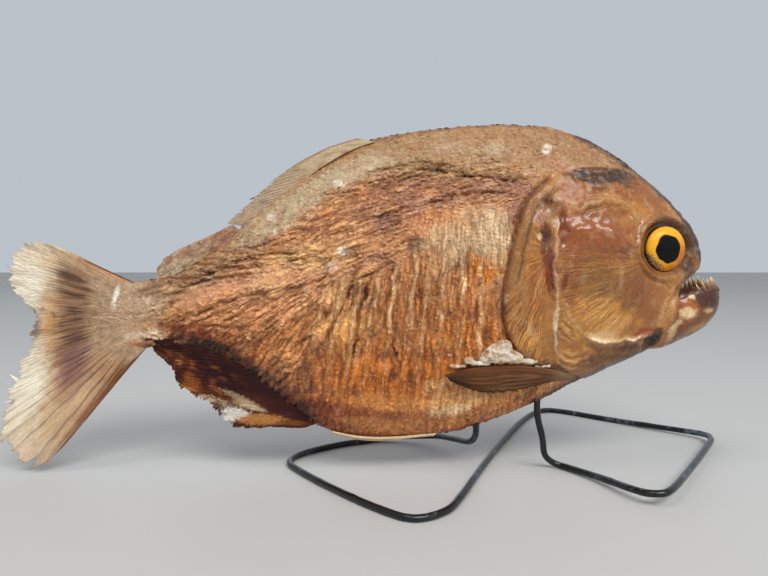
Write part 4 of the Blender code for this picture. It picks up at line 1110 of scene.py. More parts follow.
skinShape = bmesh.new()
skinShape.from_mesh(body.data)
skinTree = BVHTree.FromBMesh(skinShape)
skinShape.free()
random = np.random.default_rng(7)
roots, facing, atGirth, sideOf = [], [], [], []
halfTurns = np.linspace(0.0, math.pi, 240)
middleOf = bodyRows[:, 0] * 0.5 + bodyRows[:, 2] * 0.5
for row, x in enumerate(np.arange(scales["rearX"], scales["frontX"], scales["pitch"])):
    t = np.interp(x, middleOf, stationGrid)
    ring = bodySurface(np.full(len(halfTurns), t), halfTurns)
    girth = np.concatenate(([0.0], np.cumsum(np.linalg.norm(np.diff(ring, axis=0), axis=1))))
    stops = np.arange(0.5 + 0.5 * (row % 2), girth[-1] / scales["across"]) * scales["across"]
    for side in (-1, 1):
        jittered = stops + random.normal(0, 0.5 * scales["jitter"], len(stops)) * scales["across"]
        where = rowsAt(jittered, girth, ring)
        where[:, 0] += random.normal(0, scales["jitter"], len(stops)) * scales["pitch"]
        where[:, 1] *= -side
        distance, ofEdge, _ = pathField(where[:, 0], where[:, 2], headEdge)
        keepOnes = (distance * ofEdge < -0.8) & (where[:, 0] < 79)
        for point, along in zip(where[keepOnes], jittered[keepOnes]):
            found, normal, _, _ = skinTree.find_nearest(Vector(toFrame(point)))
            roots.append(found)
            facing.append(normal)
            atGirth.append(along)
            sideOf.append(side)
roots, facing = np.array(roots), np.array(facing)
atGirth, sideOf = np.array(atGirth), np.array(sideOf)
fishRoots = toFish(roots)
# none on the sharp edges of the back and belly, where a flat scale would stand out like a tooth
lying = np.abs(facing[:, 1]) > 0.30
roots, facing, atGirth, sideOf, fishRoots = (v[lying] for v in (roots, facing, atGirth, sideOf, fishRoots))

swing = random.normal(0, 0.22, len(roots))
tailDirection = np.column_stack((-np.cos(swing), np.zeros(len(roots)), np.sin(swing) - 0.12))
tailDirection -= facing * np.sum(tailDirection * facing, axis=1)[:, None]
tailDirection /= np.linalg.norm(tailDirection, axis=1)[:, None]
acrossDirection = np.cross(facing, tailDirection)
growth = random.uniform(0.85, 1.18, len(roots)) * (1 - 0.25 * smoothStep(-fishRoots[:, 0], 50, 80))
tilt = random.normal(0, 0.05, len(roots)) * smoothStep(np.abs(facing[:, 1]), 0.25, 0.65)
curl = random.uniform(0.5, 1.5, len(roots)) * (0.15 + 0.85 * smoothStep(np.abs(facing[:, 1]), 0.25, 0.65))
corners = (
    roots[:, None, :]
    + (tailward[None, :] * growth[:, None] * scales["length"])[:, :, None] / 1000 * tailDirection[:, None, :]
    + (sideward[None, :] * growth[:, None] * scales["halfWidth"])[:, :, None] / 1000
    * acrossDirection[:, None, :]
    + (np.where(lift > 0, lift[None, :] * curl[:, None], lift[None, :])
       + tilt[:, None] * sideward[None, :])[:, :, None] / 1000 * facing[:, None, :])
each = len(scaleCorners)
for side, word, part in [(*one, part) for one in sides for part in ("rear", "front")]:
    name = f"scales_{word}_{part}"
    chosen = (sideOf == side) & ((fishRoots[:, 0] < scales["split"]) == (part == "rear"))
    count = int(chosen.sum())
    faces = (scaleFaces[None, :, :] + each * np.arange(count)[:, None, None]).reshape(-1, 3)
    coat = bpy.data.objects.new(name, bpy.data.meshes.new(name))
    bpy.context.scene.collection.objects.link(coat)
    coat.data.from_pydata(corners[chosen].reshape(-1, 3).tolist(), [], faces.tolist())
    faceOutward(coat)
    fish = toFish(points(coat))
    colours, *others = bothSides(*fish.T, markings)
    tone = 1 + 0.06 * random.normal(0, 1, count).repeat(each) + np.tile(0.06 * tailward, count)
    store(coat, "marking", np.clip(colours * np.clip(tone, 0.55, 1.5)[:, None], 0.002, 1))
    for word, values in zip(("gloss", "folds", "rays", "creaseShadeLine"), others):
        store(coat, word, values)
    rootU = 0.5 + fishRoots[chosen][:, 0] / scales["bakeSpan"]
    rootV = 0.5 + sideOf[chosen] * atGirth[chosen] / scales["bakeSpan"]
    patch = scales["bakePatch"] / 2
    u = rootU[:, None] + patch * tailward[None, :]
    v = rootV[:, None] + patch * sideward[None, :]
    storeUv(coat, "OFBake", np.column_stack((u.ravel(), v.ravel())))
    finishPiece(coat, skinFinish, "dried_skin")
    coat.data.set_sharp_from_angle(angle=math.radians(70))
say(f"{len(roots)} scales lie on the skin")


def halfWidthAt(x, z):
    t, s, _ = bodyPlace(x, z)
    _, _, _, _, width, keel, crest = bodyAt(t)
    return width * widthShare(s, keel, crest)


def finSheet(name, fin, rootLine, edgeLine, middleOf, halfOf, markOf, grainOf):
    # a closed thin sheet from a root line to the ends of its rays: a grid laid between the two lines,
    # thickened, then given its rays on both faces
    obj = primitive(name, "grid", x_subdivisions=fin["across"], y_subdivisions=fin["rows"], size=2)
    flatGrid = points(obj)
    along, share = (flatGrid[:, 0] + 1) / 2, (flatGrid[:, 1] + 1) / 2
    steps = np.arange(400)
    ends = [rowsAt(along * steps[-1], steps, smoothLine(line, len(steps))) for line in (rootLine, edgeLine)]
    frayFrom, tears = fin.get("frayFrom", -0.5), along * fin["frayRate"]
    torn = 1 + 0.35 * fin["fray"] - fin["fray"] * smoothStep(along, frayFrom, frayFrom + 0.3) \
        * (0.5 + 0.5 * noise(tears, 0.5, fin["seed"]) + 0.35 * noise(tears * 3.7, 0.5, fin["seed"] + 1))
    reach = share * (1 - smoothStep(share, 0.55, 1) * (1 - torn))
    flatSide = ends[0] * (1 - reach)[:, None] + ends[1] * reach[:, None]
    middle = middleOf(flatSide[:, 0], flatSide[:, 1], along, share)
    place(obj, toFrame(np.column_stack((flatSide[:, 0], middle, flatSide[:, 1]))))
    store(obj, "along", along)
    store(obj, "share", share)
    store(obj, "middle", middle)
    applyModifier(obj, "SOLIDIFY", thickness=0.0002, offset=0)
    fish = toFish(points(obj))
    along, share, middle = stored(obj, "along"), stored(obj, "share"), stored(obj, "middle")
    face = np.where(fish[:, 1] < middle, -1.0, 1.0)
    fish[:, 1] = middle + face * halfOf(along, share, face)
    place(obj, toFrame(fish))
    store(obj, "marking", markOf(fish[:, 0], fish[:, 2], along, share, face))
    across, lengthwise = grainOf(along, share)
    store(obj, "grain", np.column_stack((across, lengthwise, 3 * face)))
    for used in ("along", "share", "middle"):
        obj.data.attributes.remove(obj.data.attributes[used])
    faceOutward(obj)
    return obj


finColours = {
    "cream": "#dccdb2", "creamWarm": "#dcc29a", "tan": "#b08560", "tanGrey": "#a58f78", "base": "#5a4132",
    "plum": "#6a464b", "ochre": "#b98a50", "margin": "#6e3417", "line": "#5b4336", "ash": "#6f635c",
    "leaf": "#6b4124", "leafDark": "#331f16", "blackRay": "#221b19", "rust": "#87491c", "amber": "#c07f44",
    "umber": "#2a0c06", "maroon": "#532410", "boneWhite": "#efe6d4", "sand": "#c3a481",
}
palette.update({name: linearColour(text) for name, text in finColours.items()})

# Dried fin membrane: thin, dull and a little see-through at its edges, with stiff bony rays in it.
finFinish, tree, shader = startMaterial("driedFinMembrane", IOR=1.25, Coat_Weight=0.03, Coat_Roughness=0.25)
marking = addNode("Attribute", attribute_name="marking")
strands = addNode("TexNoise", addNode("Attribute", attribute_name="grain", output="Vector"), 1, 3, 0.65)
speck = addNode("TexNoise", addNode("TexCoord", output="Object"), 1500, 3, 0.6)
fibre = addNode("Mix", 0.35, strands, speck)
shade = addNode("MapRange", fibre, 0.3, 0.7, 0.66, 1.24)
feed("Base Color", addNode("Mix", 1, marking, shade, clamp_result=True, **timesColour))
feed("Roughness", addNode("MapRange", fibre, 0.3, 0.7, 0.48, 0.66))
feed("Normal", addNode("Bump", 0.6, 0.00022, None, fibre))

tailFin = {
    "across": 400, "rows": 84, "fray": 0.085, "frayRate": 70, "seed": 300, "rootHalf": 0.62,
    "edgeHalf": 0.16,
    "rayHeight": 0.26, "warp": 1.6, "ripple": 0.35,
}
tailEdge = [
    (-90.5, 65.4), (-99.5, 70.2), (-107.7, 72.2), (-113.8, 69.6), (-116.6, 64.3), (-115.6, 59),
    (-112.4, 53.6), (-107.8, 49.3), (-109.2, 44.4), (-109.4, 39.6), (-112.6, 33.4), (-114.4, 27),
    (-116.2, 20.6), (-118.2, 14), (-115.4, 8.4), (-108.1, 2.5), (-101, 7.2), (-90, 20.2),
]
tailRoot = [
    (-72, 57.6), (-75, 57.2), (-77.5, 56), (-78.8, 54.2), (-79.3, 52.2), (-79.5, 50.2), (-79.5, 48.6),
    (-79.5, 46.8), (-79.3, 45.2), (-78.8, 43.8), (-77.5, 42.6), (-75, 41.8), (-72, 41.4),
]
tailRayPlaces, tailRayCounts = [0, 0.1, 0.36, 0.47, 0.6, 0.72, 1], [0, 3, 13, 24, 34, 38.5, 46]
tailPatches = [
    (-110, 59, 10, 14, 0, "cream", 1, 0.8), (-111, 25, 8, 17, -20, "cream", 1, 0.8),
    (-111, 60, 7, 10, 0, "boneWhite", 0.6, 0.8), (-110, 28, 5, 13, -14, "boneWhite", 0.7, 0.8),
    (-103, 17, 10, 9, 0, "creamWarm", 0.45, 0.6), (-101, 66, 9, 4, -16, "creamWarm", 0.6),
    (-103, 49, 4, 13, 0, "ochre", 0.6, 0.9), (-108, 45, 2, 6, 0, "ash", 0.95, 0.8),
    (-110, 50, 3, 2, 50, "ash", 0.8, 0.8), (-93, 25, 9, 6, 50, "sand", 0.5),
    (-87, 70, 15, 2.5, -20, "tan", 0.6), (-84, 45, 5, 9, 0, "stem", 0.6),
]


def bony(phase):
    # 1 on a ray and 0 between two of them
    return np.abs(np.cos(math.pi * phase)) ** 0.7


def tailPhase(along, share):
    return np.interp(along + 0.004 * noise(share * 6, along * 9, 310), tailRayPlaces, tailRayCounts)


def tailRays(along, share):
    # bony rays that fork towards their ends; the broad ones of the lower lobe hardly fork
    phase = tailPhase(along, share)
    single = bony(phase)
    forked = np.abs(np.cos(2 * math.pi * phase + 0.4)) ** 0.7
    fourfold = np.abs(np.cos(4 * math.pi * phase)) ** 0.8
    broad = smoothStep(along, 0.6, 0.72)
    fork = smoothStep(share, 0.3, 0.55) * (1 - 0.75 * broad)
    again = smoothStep(share, 0.62, 0.82) * (1 - broad)
    return (single * (1 - fork) + forked * fork) * (1 - again) + fourfold * again, broad


def tailMiddle(x, z, along, share):
    return tailFin["warp"] * share**2 * np.sin(2 * math.pi * along) \
        + tailFin["ripple"] * share * noise(along * 16, share * 2.5, 320) \
        + 0.5 * smoothStep(share, 0.7, 1) * noise(along * 30, 0.5, 321)


def tailHalf(along, share, face):
    rays, broad = tailRays(along, share)
    half = tailFin["rootHalf"] + (tailFin["edgeHalf"] - tailFin["rootHalf"]) * smoothStep(share, 0, 0.9)
    half += 1.05 * fall(share, 0.16, 0.42) * window(along, 0.03, 0.97, 0.1)
    return half + tailFin["rayHeight"] * (rays - 0.3) * (1 - 0.55 * share) * smoothStep(share, 0.2, 0.4) \
        + 0.05 * noise(along * 90, share * 14, 330)


def tailMarks(x, z, along, share, face):
    rays, broad = tailRays(along, share)
    colours = plain("tan", x)
    seed = 340
    colours = addPatches(colours, x, z, tailPatches, seed, np.ones(len(x)))
    colours = blend(colours, ("cream", 0.55 * smoothStep(share, 0.7, 0.95)
        * (1 - window(along, 0.36, 0.5, 0.04))))
    root = fall(share + 0.1 * noise(along * 14, share * 4, seed + 3), 0.1, 0.26)
    # a dark band crosses the bases of the rays, in streaks, brown above and plum below
    outward = (-x - 80) / 24 + 0.14 * noise(tailPhase(along, share) * 1.3, share * 2, seed + 5)
    root = np.maximum(root, fall(outward, 0.36, 0.58) * window(along, 0.1, 0.72, 0.08))
    band = window(outward, 0.42, 0.84, 0.14) * window(along, 0.14, 0.8, 0.07)
    band *= 0.72 + 0.45 * noise(tailPhase(along, share) * 0.9, share * 3, seed + 6)
    colours = blend(
        colours,
        ("base", 1.15 * band * fall(along, 0.56, 0.64)),
        ("plum", 1.1 * band * smoothStep(along, 0.56, 0.64)))
    # and both outer edges are darkened to brown
    edge = np.maximum(smoothStep(along, 0.85, 0.96), 1 - smoothStep(along, 0.015, 0.055))
    edge *= 0.85 + 0.3 * noise(share * 9, along * 30, seed + 7)
    colours = blend(colours, ("margin", 0.95 * edge))
    valley = fall(rays, 0.15, 0.6)
    colours = blend(colours, ("line", valley * (0.52 + 0.3 * broad)
        * (1 - 0.35 * smoothStep(share, 0.75, 1))))
    streak = noise(tailPhase(along, share) * 2.2, share * 3.5, seed + 1)
    colours *= (1 + 0.16 * streak + 0.1 * (rays - 0.5))[:, None]
    threads = smoothStep(noise(tailPhase(along, share) * 1.4, share * 5, seed + 2), 0.35, 0.9)
    colours = blend(colours, ("line", 0.45 * threads * fall(share, 0.45, 0.8)))
    mottled = palette["stem"] * (0.9 + 0.24 * noise(x / 2.2, z / 2.2, seed + 4)
        + 0.26 * noise(x / 0.9, z / 0.9, seed + 8))[:, None]
    colours += (mottled - colours) * root[:, None]
    colours = addPatches(colours, x, z, [(-82, 55, 1, 4, -14, "boneWhite", 0.9)], seed, np.ones(len(x)))
    return np.clip(colours, 0.01, 1)


tail = finSheet("tail_fin_rays", tailFin, tailRoot, tailEdge, tailMiddle, tailHalf, tailMarks,
                lambda along, share: (6 * tailPhase(along, share), 7 * share))

# frayed white fibres at the rear corner of the lower lobe
wisps = []
wispEnds = [
    ((-113.4, 25.6), (-117, 26.4)), ((-114.6, 21.8), (-118.6, 22.6)), ((-115.4, 18.4), (-119.2, 15.2)),
    ((-115.8, 16.6), (-119.4, 12.6)), ((-114.8, 24), (-117.4, 20.2)), ((-113, 29), (-115.8, 30.6)),
]
for index, ((x0, z0), (x1, z1)) in enumerate(wispEnds):
    wisp = primitive(f"wisp_{index}", "cone", vertices=6, radius1=1, radius2=0.15, depth=2)
    applyModifier(wisp, "SUBSURF", levels=1, render_levels=1, subdivision_type="SIMPLE")
    shape = points(wisp)
    along = (shape[:, 2] + 1) / 2
    bend = 0.5 * np.sin(along * 3 + index)
    place(wisp, toFrame(np.column_stack((
        x0 + (x1 - x0) * along + 0.5 * shape[:, 0], 0.4 * math.sin(index) + 0.2 * shape[:, 1],
        z0 + (z1 - z0) * along + shape[:, 0] * (1 - 0.7 * along) + bend))))
    faceOutward(wisp)
    wisps.append(wisp)
wisps = joinPieces("tail_wisps", wisps)
store(wisps, "marking", plain("boneWhite", wisps.data.vertices))
tail = joinPieces("tail_fin_rays", [tail, wisps])
finishPiece(tail, finFinish, "dried_fin", "tail_fin")


def rootOn(line, startX, endX, sunk):
    stops = np.linspace(startX, endX, 9)
    backZ, bellyZ = backAndBelly(stops)
    return [(x, (backZ[i] - sunk) if line == "back" else (bellyZ[i] + sunk)) for i, x in enumerate(stops)]


# The dorsal fin has dried folded down along the back.
dorsalFin = {"across": 260, "rows": 26, "fray": 0.2, "frayRate": 34, "frayFrom": 0.4, "seed": 400,
    "rays": 22}


def dorsalRays(along, share):
    phase = along * dorsalFin["rays"] - 5 * share + 0.25 * noise(along * 20, share * 2, 405)
    return bony(phase)


def dorsalMarks(x, z, along, share, face):
    rays = dorsalRays(along, share)
    rear = smoothStep(along, 0.45, 0.7)
    colours = blend(
        plain("backRear", x),
        ("tanGrey", 0.9 * rear),
        ("upperRed", 0.6 * (1 - rear) * smoothStep(noise(along * 11, share * 3, 413), 0, 0.7)),
        ("sand", 0.5 * rear * rays * (0.7 + 0.5 * noise(along * 18, share * 3, 411))),
        ("line", (0.2 + 0.45 * rear) * fall(rays, 0.1, 0.5)),
        ("ash", 0.5 * smoothStep(noise(along * 12, share * 2, 412), 0.1, 0.8)),
        ("backEdge", 0.7 * smoothStep(share, 0.75, 1) * (1 - rear)))
    return np.clip(colours * (1 + 0.2 * noise(along * 90, share * 8, 414))[:, None], 0.01, 1)


dorsal = finSheet(
    "dorsal_fin_rays", dorsalFin, rootOn("back", -3, -42, 1.6),
    [(-8, 103.4), (-17.5, 100.2), (-28.5, 94.2), (-38.5, 86.8), (-47.8, 77.6)],
    lambda x, z, along, share: 0.45 * share * noise(along * 9, share * 2, 420),
    lambda along, share, face: 0.25 + 1.9 * fall(along, 0.3, 0.75) * (1 - share)
    + 0.37 * (1 - 0.55 * share)
    + 0.22 * (dorsalRays(along, share) - 0.4) * smoothStep(along, 0.3, 0.6),
    dorsalMarks, lambda along, share: (4 * (along * dorsalFin["rays"] - 5 * share), 3 * share))
loose = primitive("loose_ray", "cylinder", vertices=8, radius=1, depth=2, end_fill_type="TRIFAN")
applyModifier(loose, "SUBSURF", levels=2, render_levels=2, subdivision_type="SIMPLE")
shape = points(loose)
along = (shape[:, 2] + 1) / 2
place(loose, toFrame(np.column_stack((
    -34.2 - 6.8 * along + 0.18 * shape[:, 0], 0.3 + 0.22 * shape[:, 1],
    90.4 - 5.2 * along - 0.9 * np.sin(along * 3) + 0.24 * shape[:, 0]))))
faceOutward(loose)
store(loose, "marking", plain("blackRay", loose.data.vertices))
dorsal = joinPieces("dorsal_fin_rays", [dorsal, loose])
finishPiece(dorsal, finFinish, "dried_fin", "dorsal_fin")

# The adipose fin is a soft lump without rays, dried into a wrinkled ridge.
adiposeFin = {"across": 150, "rows": 30, "fray": 0.1, "frayRate": 9, "seed": 450}


def adiposeMarks(x, z, along, share, face):
    folds = noise(along * 9 + 2 * share, share * 2, 460)
    colours = blend(
        plain("rearDark", x),
        ("tanGrey", 0.4 + 0.6 * smoothStep(along, 0.45, 0.75)),
        ("backRear", 0.55 * smoothStep(folds, 0, 0.8)),
        ("rearDark", 0.8 * smoothStep(-folds, 0.05, 0.6)),
        ("crevice", 0.5 * smoothStep(noise(along * 14, share * 3, 462), 0.3, 0.8)))
    return np.clip(colours * (1 + 0.25 * noise(along * 40, share * 10, 461))[:, None], 0.01, 1)


adipose = finSheet(
    "adipose_fin_ridge", adiposeFin, rootOn("back", -43.5, -70, 1.8),
    [(-46.4, 77.2), (-51.5, 75), (-58.4, 71.8), (-66.2, 68), (-69.6, 64.2)],
    lambda x, z, along, share: 0.4 * share * noise(along * 5, share, 470),
    lambda along, share, face: (1.9 * np.sqrt(np.clip(1 - 0.93 * share**2, 0, 1)))
    * (0.55 + 0.45 * np.sin(math.pi * np.clip(along * 0.9 + 0.08, 0, 1)))
    + 0.55 * noise(along * 10 + face, share * 3, 471) + 0.2 * noise(along * 26 + face, share * 7, 472),
    adiposeMarks, lambda along, share: (12 * along, 4 * share))
finishPiece(adipose, finFinish, "dried_fin", "adipose_fin")

# The anal fin is stuck down in layers, and its front is a broken pale shard.
analFin = {"across": 330, "rows": 48, "fray": 0.16, "frayRate": 26, "seed": 500, "rays": 19}
analPatches = [
    (-52, 31, 9, 4, -30, "umber", 0.95, 0.6), (-45, 26, 8, 3, -26, "umber", 0.9, 0.6),
    (-38, 23, 8, 2.5, -20, "maroon", 0.8, 0.6), (-60, 28, 4, 3, -25, "rust", 0.95, 0.6),
    (-61, 27, 3, 1, -25, "amber", 0.6, 0.7), (-66, 37, 5, 2, -35, "maroon", 0.9, 0.6),
    (-63, 35, 1.5, 1, -30, "amber", 0.5, 0.6), (-32, 21, 8, 3, -18, "wine", 0.85, 0.6),
    (-53, 23, 6, 1.5, -16, "sand", 0.8), (-43, 22, 5, 1.5, -14, "tan", 0.9),
    (-46, 19, 5, 2, -8, "boneWhite", 0.95, 0.4), (-49, 17, 3, 1.5, 0, "boneWhite", 0.95, 0.35),
    (-38, 17, 8, 2, -2, "amber", 0.95, 0.35), (-41, 21, 5, 1, -16, "creamWarm", 0.7),
    (-29, 16, 5, 1, 0, "rust", 0.8), (-45, 24, 7, 1, -24, "sand", 0.6),
]


def analRays(along, share):
    phase = 12 * share + along * analFin["rays"] + 1.2 * noise(along * 7, share * 3, 505)
    return bony(phase)


def analMarks(x, z, along, share, face):
    rays = analRays(along, share)
    colours = plain("maroon", x)
    colours = addPatches(colours, x, z, analPatches, 510, np.ones(len(x)))
    shard = smoothStep(along, 0.52, 0.6)
    colours = blend(
        colours,
        ("rust", 0.6 * smoothStep(noise(along * 14, share * 8, 512), 0.1, 0.6) * (1 - shard)),
        ("umber", 0.7 * smoothStep(noise(along * 9, share * 5, 513), 0, 0.5) * (1 - shard)))
    colours *= (1 + (1.1 - 0.9 * shard) * (rays - 0.5) + 0.2 * noise(along * 40, share * 6, 511))[:, None]
    colours = blend(colours, ("umber", (0.75 - 0.55 * shard) * fall(rays, 0.15, 0.6)))
    # dark where it leaves the body, so that the two run into each other
    fromRoot = share + 0.12 * noise(along * 12, share * 4, 514)
    colours = blend(colours, ("umber", 0.75 * fall(fromRoot, 0.16, 0.42)))
    return np.clip(0.72 * colours, 0.004, 1)


anal = finSheet(
    "anal_fin_rays", analFin, rootOn("belly", -72, -19, 2.2),
    [(-71, 38.4), (-65.6, 33), (-64.2, 28.6), (-57.6, 23.6), (-51, 19.2), (-49, 15.6), (-40, 14.4),
     (-25, 14.4)],
    lambda x, z, along, share: 0.5 * share * noise(along * 8, share * 2, 520),
    lambda along, share, face: 0.85 + 1.5 * fall(share, 0.04, 0.42)
    * window(along, 0, 0.9, 0.08) - 0.45 * share + 0.26 * (analRays(along, share) - 0.4)
    * (1 - 0.6 * smoothStep(along, 0.5, 0.6))
    + 0.12 * noise(along * 12 + 3 * face, share * 5, 521),
    analMarks, lambda along, share: (5 * (12 * share + along * analFin["rays"]), 8 * along))
finishPiece(anal, finFinish, "dried_fin", "anal_fin")

# The paired fins have dried flat against the body.
pairedFins = {
    "pectoral": {
        "across": 240, "rows": 80, "fray": 0.1, "frayRate": 90, "seed": 600, "rays": 32,
        "lift": (-0.9, 0.9, 1.3, 1.5, 1.7),
        "top": [(59, 31.6), (49.3, 34.4), (39, 35.8), (26, 35.4), (17.7, 33.3)],
        "bottom": [(57, 29.8), (49.6, 30), (39.5, 28), (29.1, 27.4), (19.4, 31.2)],
    },
    "pelvic": {
        "across": 90, "rows": 24, "fray": 0, "frayRate": 20, "seed": 650, "rays": 5,
        "lift": (-0.6, 0.5, 0.8, 0.3),
        "top": [(16.5, 13), (4, 12), (-7, 12.2), (-16, 13.6)],
        "bottom": [(15.5, 11.9), (3, 10.6), (-7, 10.7), (-16.5, 12.7)],
    },
}


def pairedFin(kind, side, word):
    fin = dict(pairedFins[kind])
    lifts = smoothLine([(v,) for v in fin["lift"]], 100)[:, 0]
    lastLift = len(lifts) - 1
    seed = fin["seed"] + (0 if side < 0 else 37)

    def middle(x, z, along, share):
        curl = 0.35 * np.sin(math.pi * share) + 0.3 * along * noise(along * 3, share * 2, seed)
        return side * (halfWidthAt(x, z) + np.interp(along * lastLift, np.arange(len(lifts)), lifts) + curl)

    def rays(along, share):
        phase = share * fin["rays"] * (0.5 + 0.5 * along) + 0.15 * noise(along * 8, share * 3, seed + 1)
        return bony(phase)

    def half(along, share, face):
        rim = np.clip(4 * share, 0, 1) * np.clip(4 * (1 - share), 0, 1) * np.clip(6 * (1 - along), 0, 1)
        return 0.1 + 0.34 * np.sqrt(rim) * (1 - 0.45 * along) \
            + 0.14 * (rays(along, share) - 0.4) * np.sqrt(rim)

    def marks(x, z, along, share, face):
        lines = rays(along, share)
        if kind == "pelvic":
            colours = plain("creamWarm", x)
            colours = blend(colours, ("stemDark", 0.45 * fall(lines, 0.1, 0.6)))
            return colours * (1 + 0.15 * noise(along * 12, share * 5, seed + 2))[:, None]
        colours = plain("leaf", x)
        colours = blend(
            colours,
            ("amber", 0.35 * smoothStep(noise(along * 4, share * 11, seed + 2), 0, 0.7)),
            ("leafDark", 0.8 * fall(lines, 0.2, 0.75)
             * (0.8 + 0.4 * noise(along * 5, share * 20, seed + 4))),
            ("leafDark", 0.85 * smoothStep(along, 0.72, 0.98)
             * (0.8 + 0.4 * noise(along * 6, share * 5, seed + 3))))
        edge = np.maximum(1 - smoothStep(share, 0.02, 0.14), smoothStep(share, 0.88, 0.98))
        colours = blend(
            colours,
            ("leafDark", 0.65 * edge * smoothStep(along, 0.2, 0.5)),
            ("sand", 0.55 * fall(along, 0.05, 0.34)),
            ("tan", 0.35 * window(along, 0.2, 0.7, 0.15)
             * smoothStep(noise(along * 3, share * 24, seed + 5), -0.1, 0.6)),
            ("leafDark", 0.6 * smoothStep(noise(along * 5, share * 9, seed + 6), 0.25, 0.8)),
            ("rust", 0.35 * fall(share, 0.05, 0.3) * smoothStep(along, 0.1, 0.4)))
        return np.clip(0.76 * colours, 0.006, 1)

    made = finSheet(f"{kind}_fin_{word}_rays", fin, fin["top"], fin["bottom"], middle, half, marks,
                    lambda along, share: (60 * share * (0.5 + 0.5 * along), 3 * along))
    finishPiece(made, finFinish, "dried_fin", f"{kind}_fin_{word}")


for kind in ("pectoral", "pelvic"):
    for side, word in sides:
        pairedFin(kind, side, word)


eyes = {
    "segments": 72, "rings": 40, "pupil": 0.61, "pupilForward": -0.09, "pupilUp": 0.0, "yellow": "#e0a024",
    "amber": "#cf7d16",
    "rust": "#a95a14", "pupilColour": "#050506", "dirt": "#6a5744",
}
# A taxidermist's glass eye: an iris painted on the flat back, under clear glass that has gone a little dusty.
eyeFinish, tree, shader = startMaterial(
    "paintedGlassEye", IOR=1.2, Roughness=0.30, Coat_Weight=0.12, Coat_Roughness=0.03)
disc = addNode("UVMap", uv_map="disc")
parts = addNode("SeparateXYZ", disc).node.outputs
wander = addNode("Math", addNode("TexNoise", disc, 2.4, 0.0), 0.5, operation="SUBTRACT")
shift = addNode("Mapping", disc, (-eyes["pupilForward"], -eyes["pupilUp"], 0.0))
fromPupil = addNode("VectorMath", shift, operation="LENGTH")
wavy = addNode("Math", fromPupil, addNode("Math", wander, 0.20, operation="MULTIPLY"), operation="ADD")
inPupil = addNode("MapRange", wavy, eyes["pupil"] - 0.015, eyes["pupil"] + 0.02, 1.0, 0.0)
lean = addNode("Math", parts["X"], parts["Y"], operation="SUBTRACT")
leanShare = addNode("MapRange", addNode("Math", lean, wander, operation="ADD"), -1.3, 1.3)
iris = addNode("ValToRGB", leanShare, stops=[
    (0.0, eyes["yellow"]), (0.45, eyes["yellow"]), (0.75, eyes["amber"]), (1.0, eyes["rust"])])
grit = addNode("TexNoise", disc, 16.0, 2.0)
high = addNode("Math", parts["X"], parts["Y"], operation="ADD")
low = addNode("MapRange", addNode("Math", high, -0.8, operation="MULTIPLY"), 0.35, 1.15)
gritMask = addNode("MapRange", addNode("Math", grit, low, operation="MULTIPLY"), 0.30, 0.42)
dusty = addNode("Mix", gritMask, iris, paint(eyes["dirt"]), **mixColour)
feed("Base Color", addNode("Mix", inPupil, dusty, paint(eyes["pupilColour"]), **mixColour))

for side, word in sides:
    eye = primitive(f"glass_eye_{word}", "uv_sphere", segments=eyes["segments"], ring_count=eyes["rings"],
        radius=1.0)
    ball = points(eye)
    turn = math.radians(fishEyes["forwardDeg"])
    axis = np.array((math.sin(turn), side * math.cos(turn), 0.0))
    forward = np.array((math.cos(turn), -side * math.sin(turn), 0.0))
    centre = np.array((fishEyes["x"], side * fishEyes["y"], fishEyes["z"]))
    shaped = centre + fishEyes["radius"] * (ball[:, :1] * forward + ball[:, 1:2] * np.array((0, 0, 1.0))) \
        + fishEyes["halfDepth"] * ball[:, 2:] * axis
    place(eye, toFrame(shaped))
    faceOutward(eye)
    back = toFish(points(eye)) - centre
    disc = np.column_stack((back @ forward, back[:, 2])) / fishEyes["radius"]
    for layer in list(eye.data.uv_layers):
        eye.data.uv_layers.remove(layer)
    storeUv(eye, "disc", disc)
    finishPiece(eye, eyeFinish, "glass_eye", f"eye_{word}")


teethSet = {
    "lower": [(4.8, 1.6), (5.25, 2.3), (5.7, 2.8), (6.15, 3.1), (6.6, 3.0), (7.05, 2.3)],
    "upper": [(20.4, 1.3), (21.0, 1.8), (21.5, 1.6)],
    "width": 1.05, "depth": 0.6, "sunk": 1.3, "lowerSeat": 0.80, "upperSeat": 0.10,
}
# Tooth enamel and dentine: ivory, a little see-through, brown where it meets the gum.
toothFinish, tree, shader = startMaterial("stainedTooth", IOR=1.6, Roughness=0.32, Subsurface_Weight=0.0)
rise = addNode("Attribute", attribute_name="rise", output="Fac")
ivory = addNode("ValToRGB", rise, stops=[(0.0, "#5d3d28"), (0.4, "#98734c"), (0.8, "#c9b088"),
    (1.0, "#ddcfae")])
stain = addNode("TexNoise", addNode("TexCoord", output="Object"), 900.0, 2.0)
stainShare = addNode("MapRange", stain, 0.5, 0.75, None, 0.6)
feed("Base Color", addNode("Mix", stainShare, ivory, paint("#9c744c"), **mixColour))


def lowerSeat(t):
    rimX, rimZ, _, _, width = splineAt(jawSections, t)
    return np.array((rimX, teethSet["lowerSeat"] * width, rimZ))


def upperSeat(t):
    backX, backZ, bellyX, bellyZ, width, keel, crest = bodyAt(np.array([t]))
    s = teethSet["upperSeat"]
    return np.array((float(bellyX[0] + s * (backX[0] - bellyX[0])),
        float(width[0] * widthShare(s, keel[0], crest[0])),
                     float(bellyZ[0] + s * (backZ[0] - bellyZ[0]))))


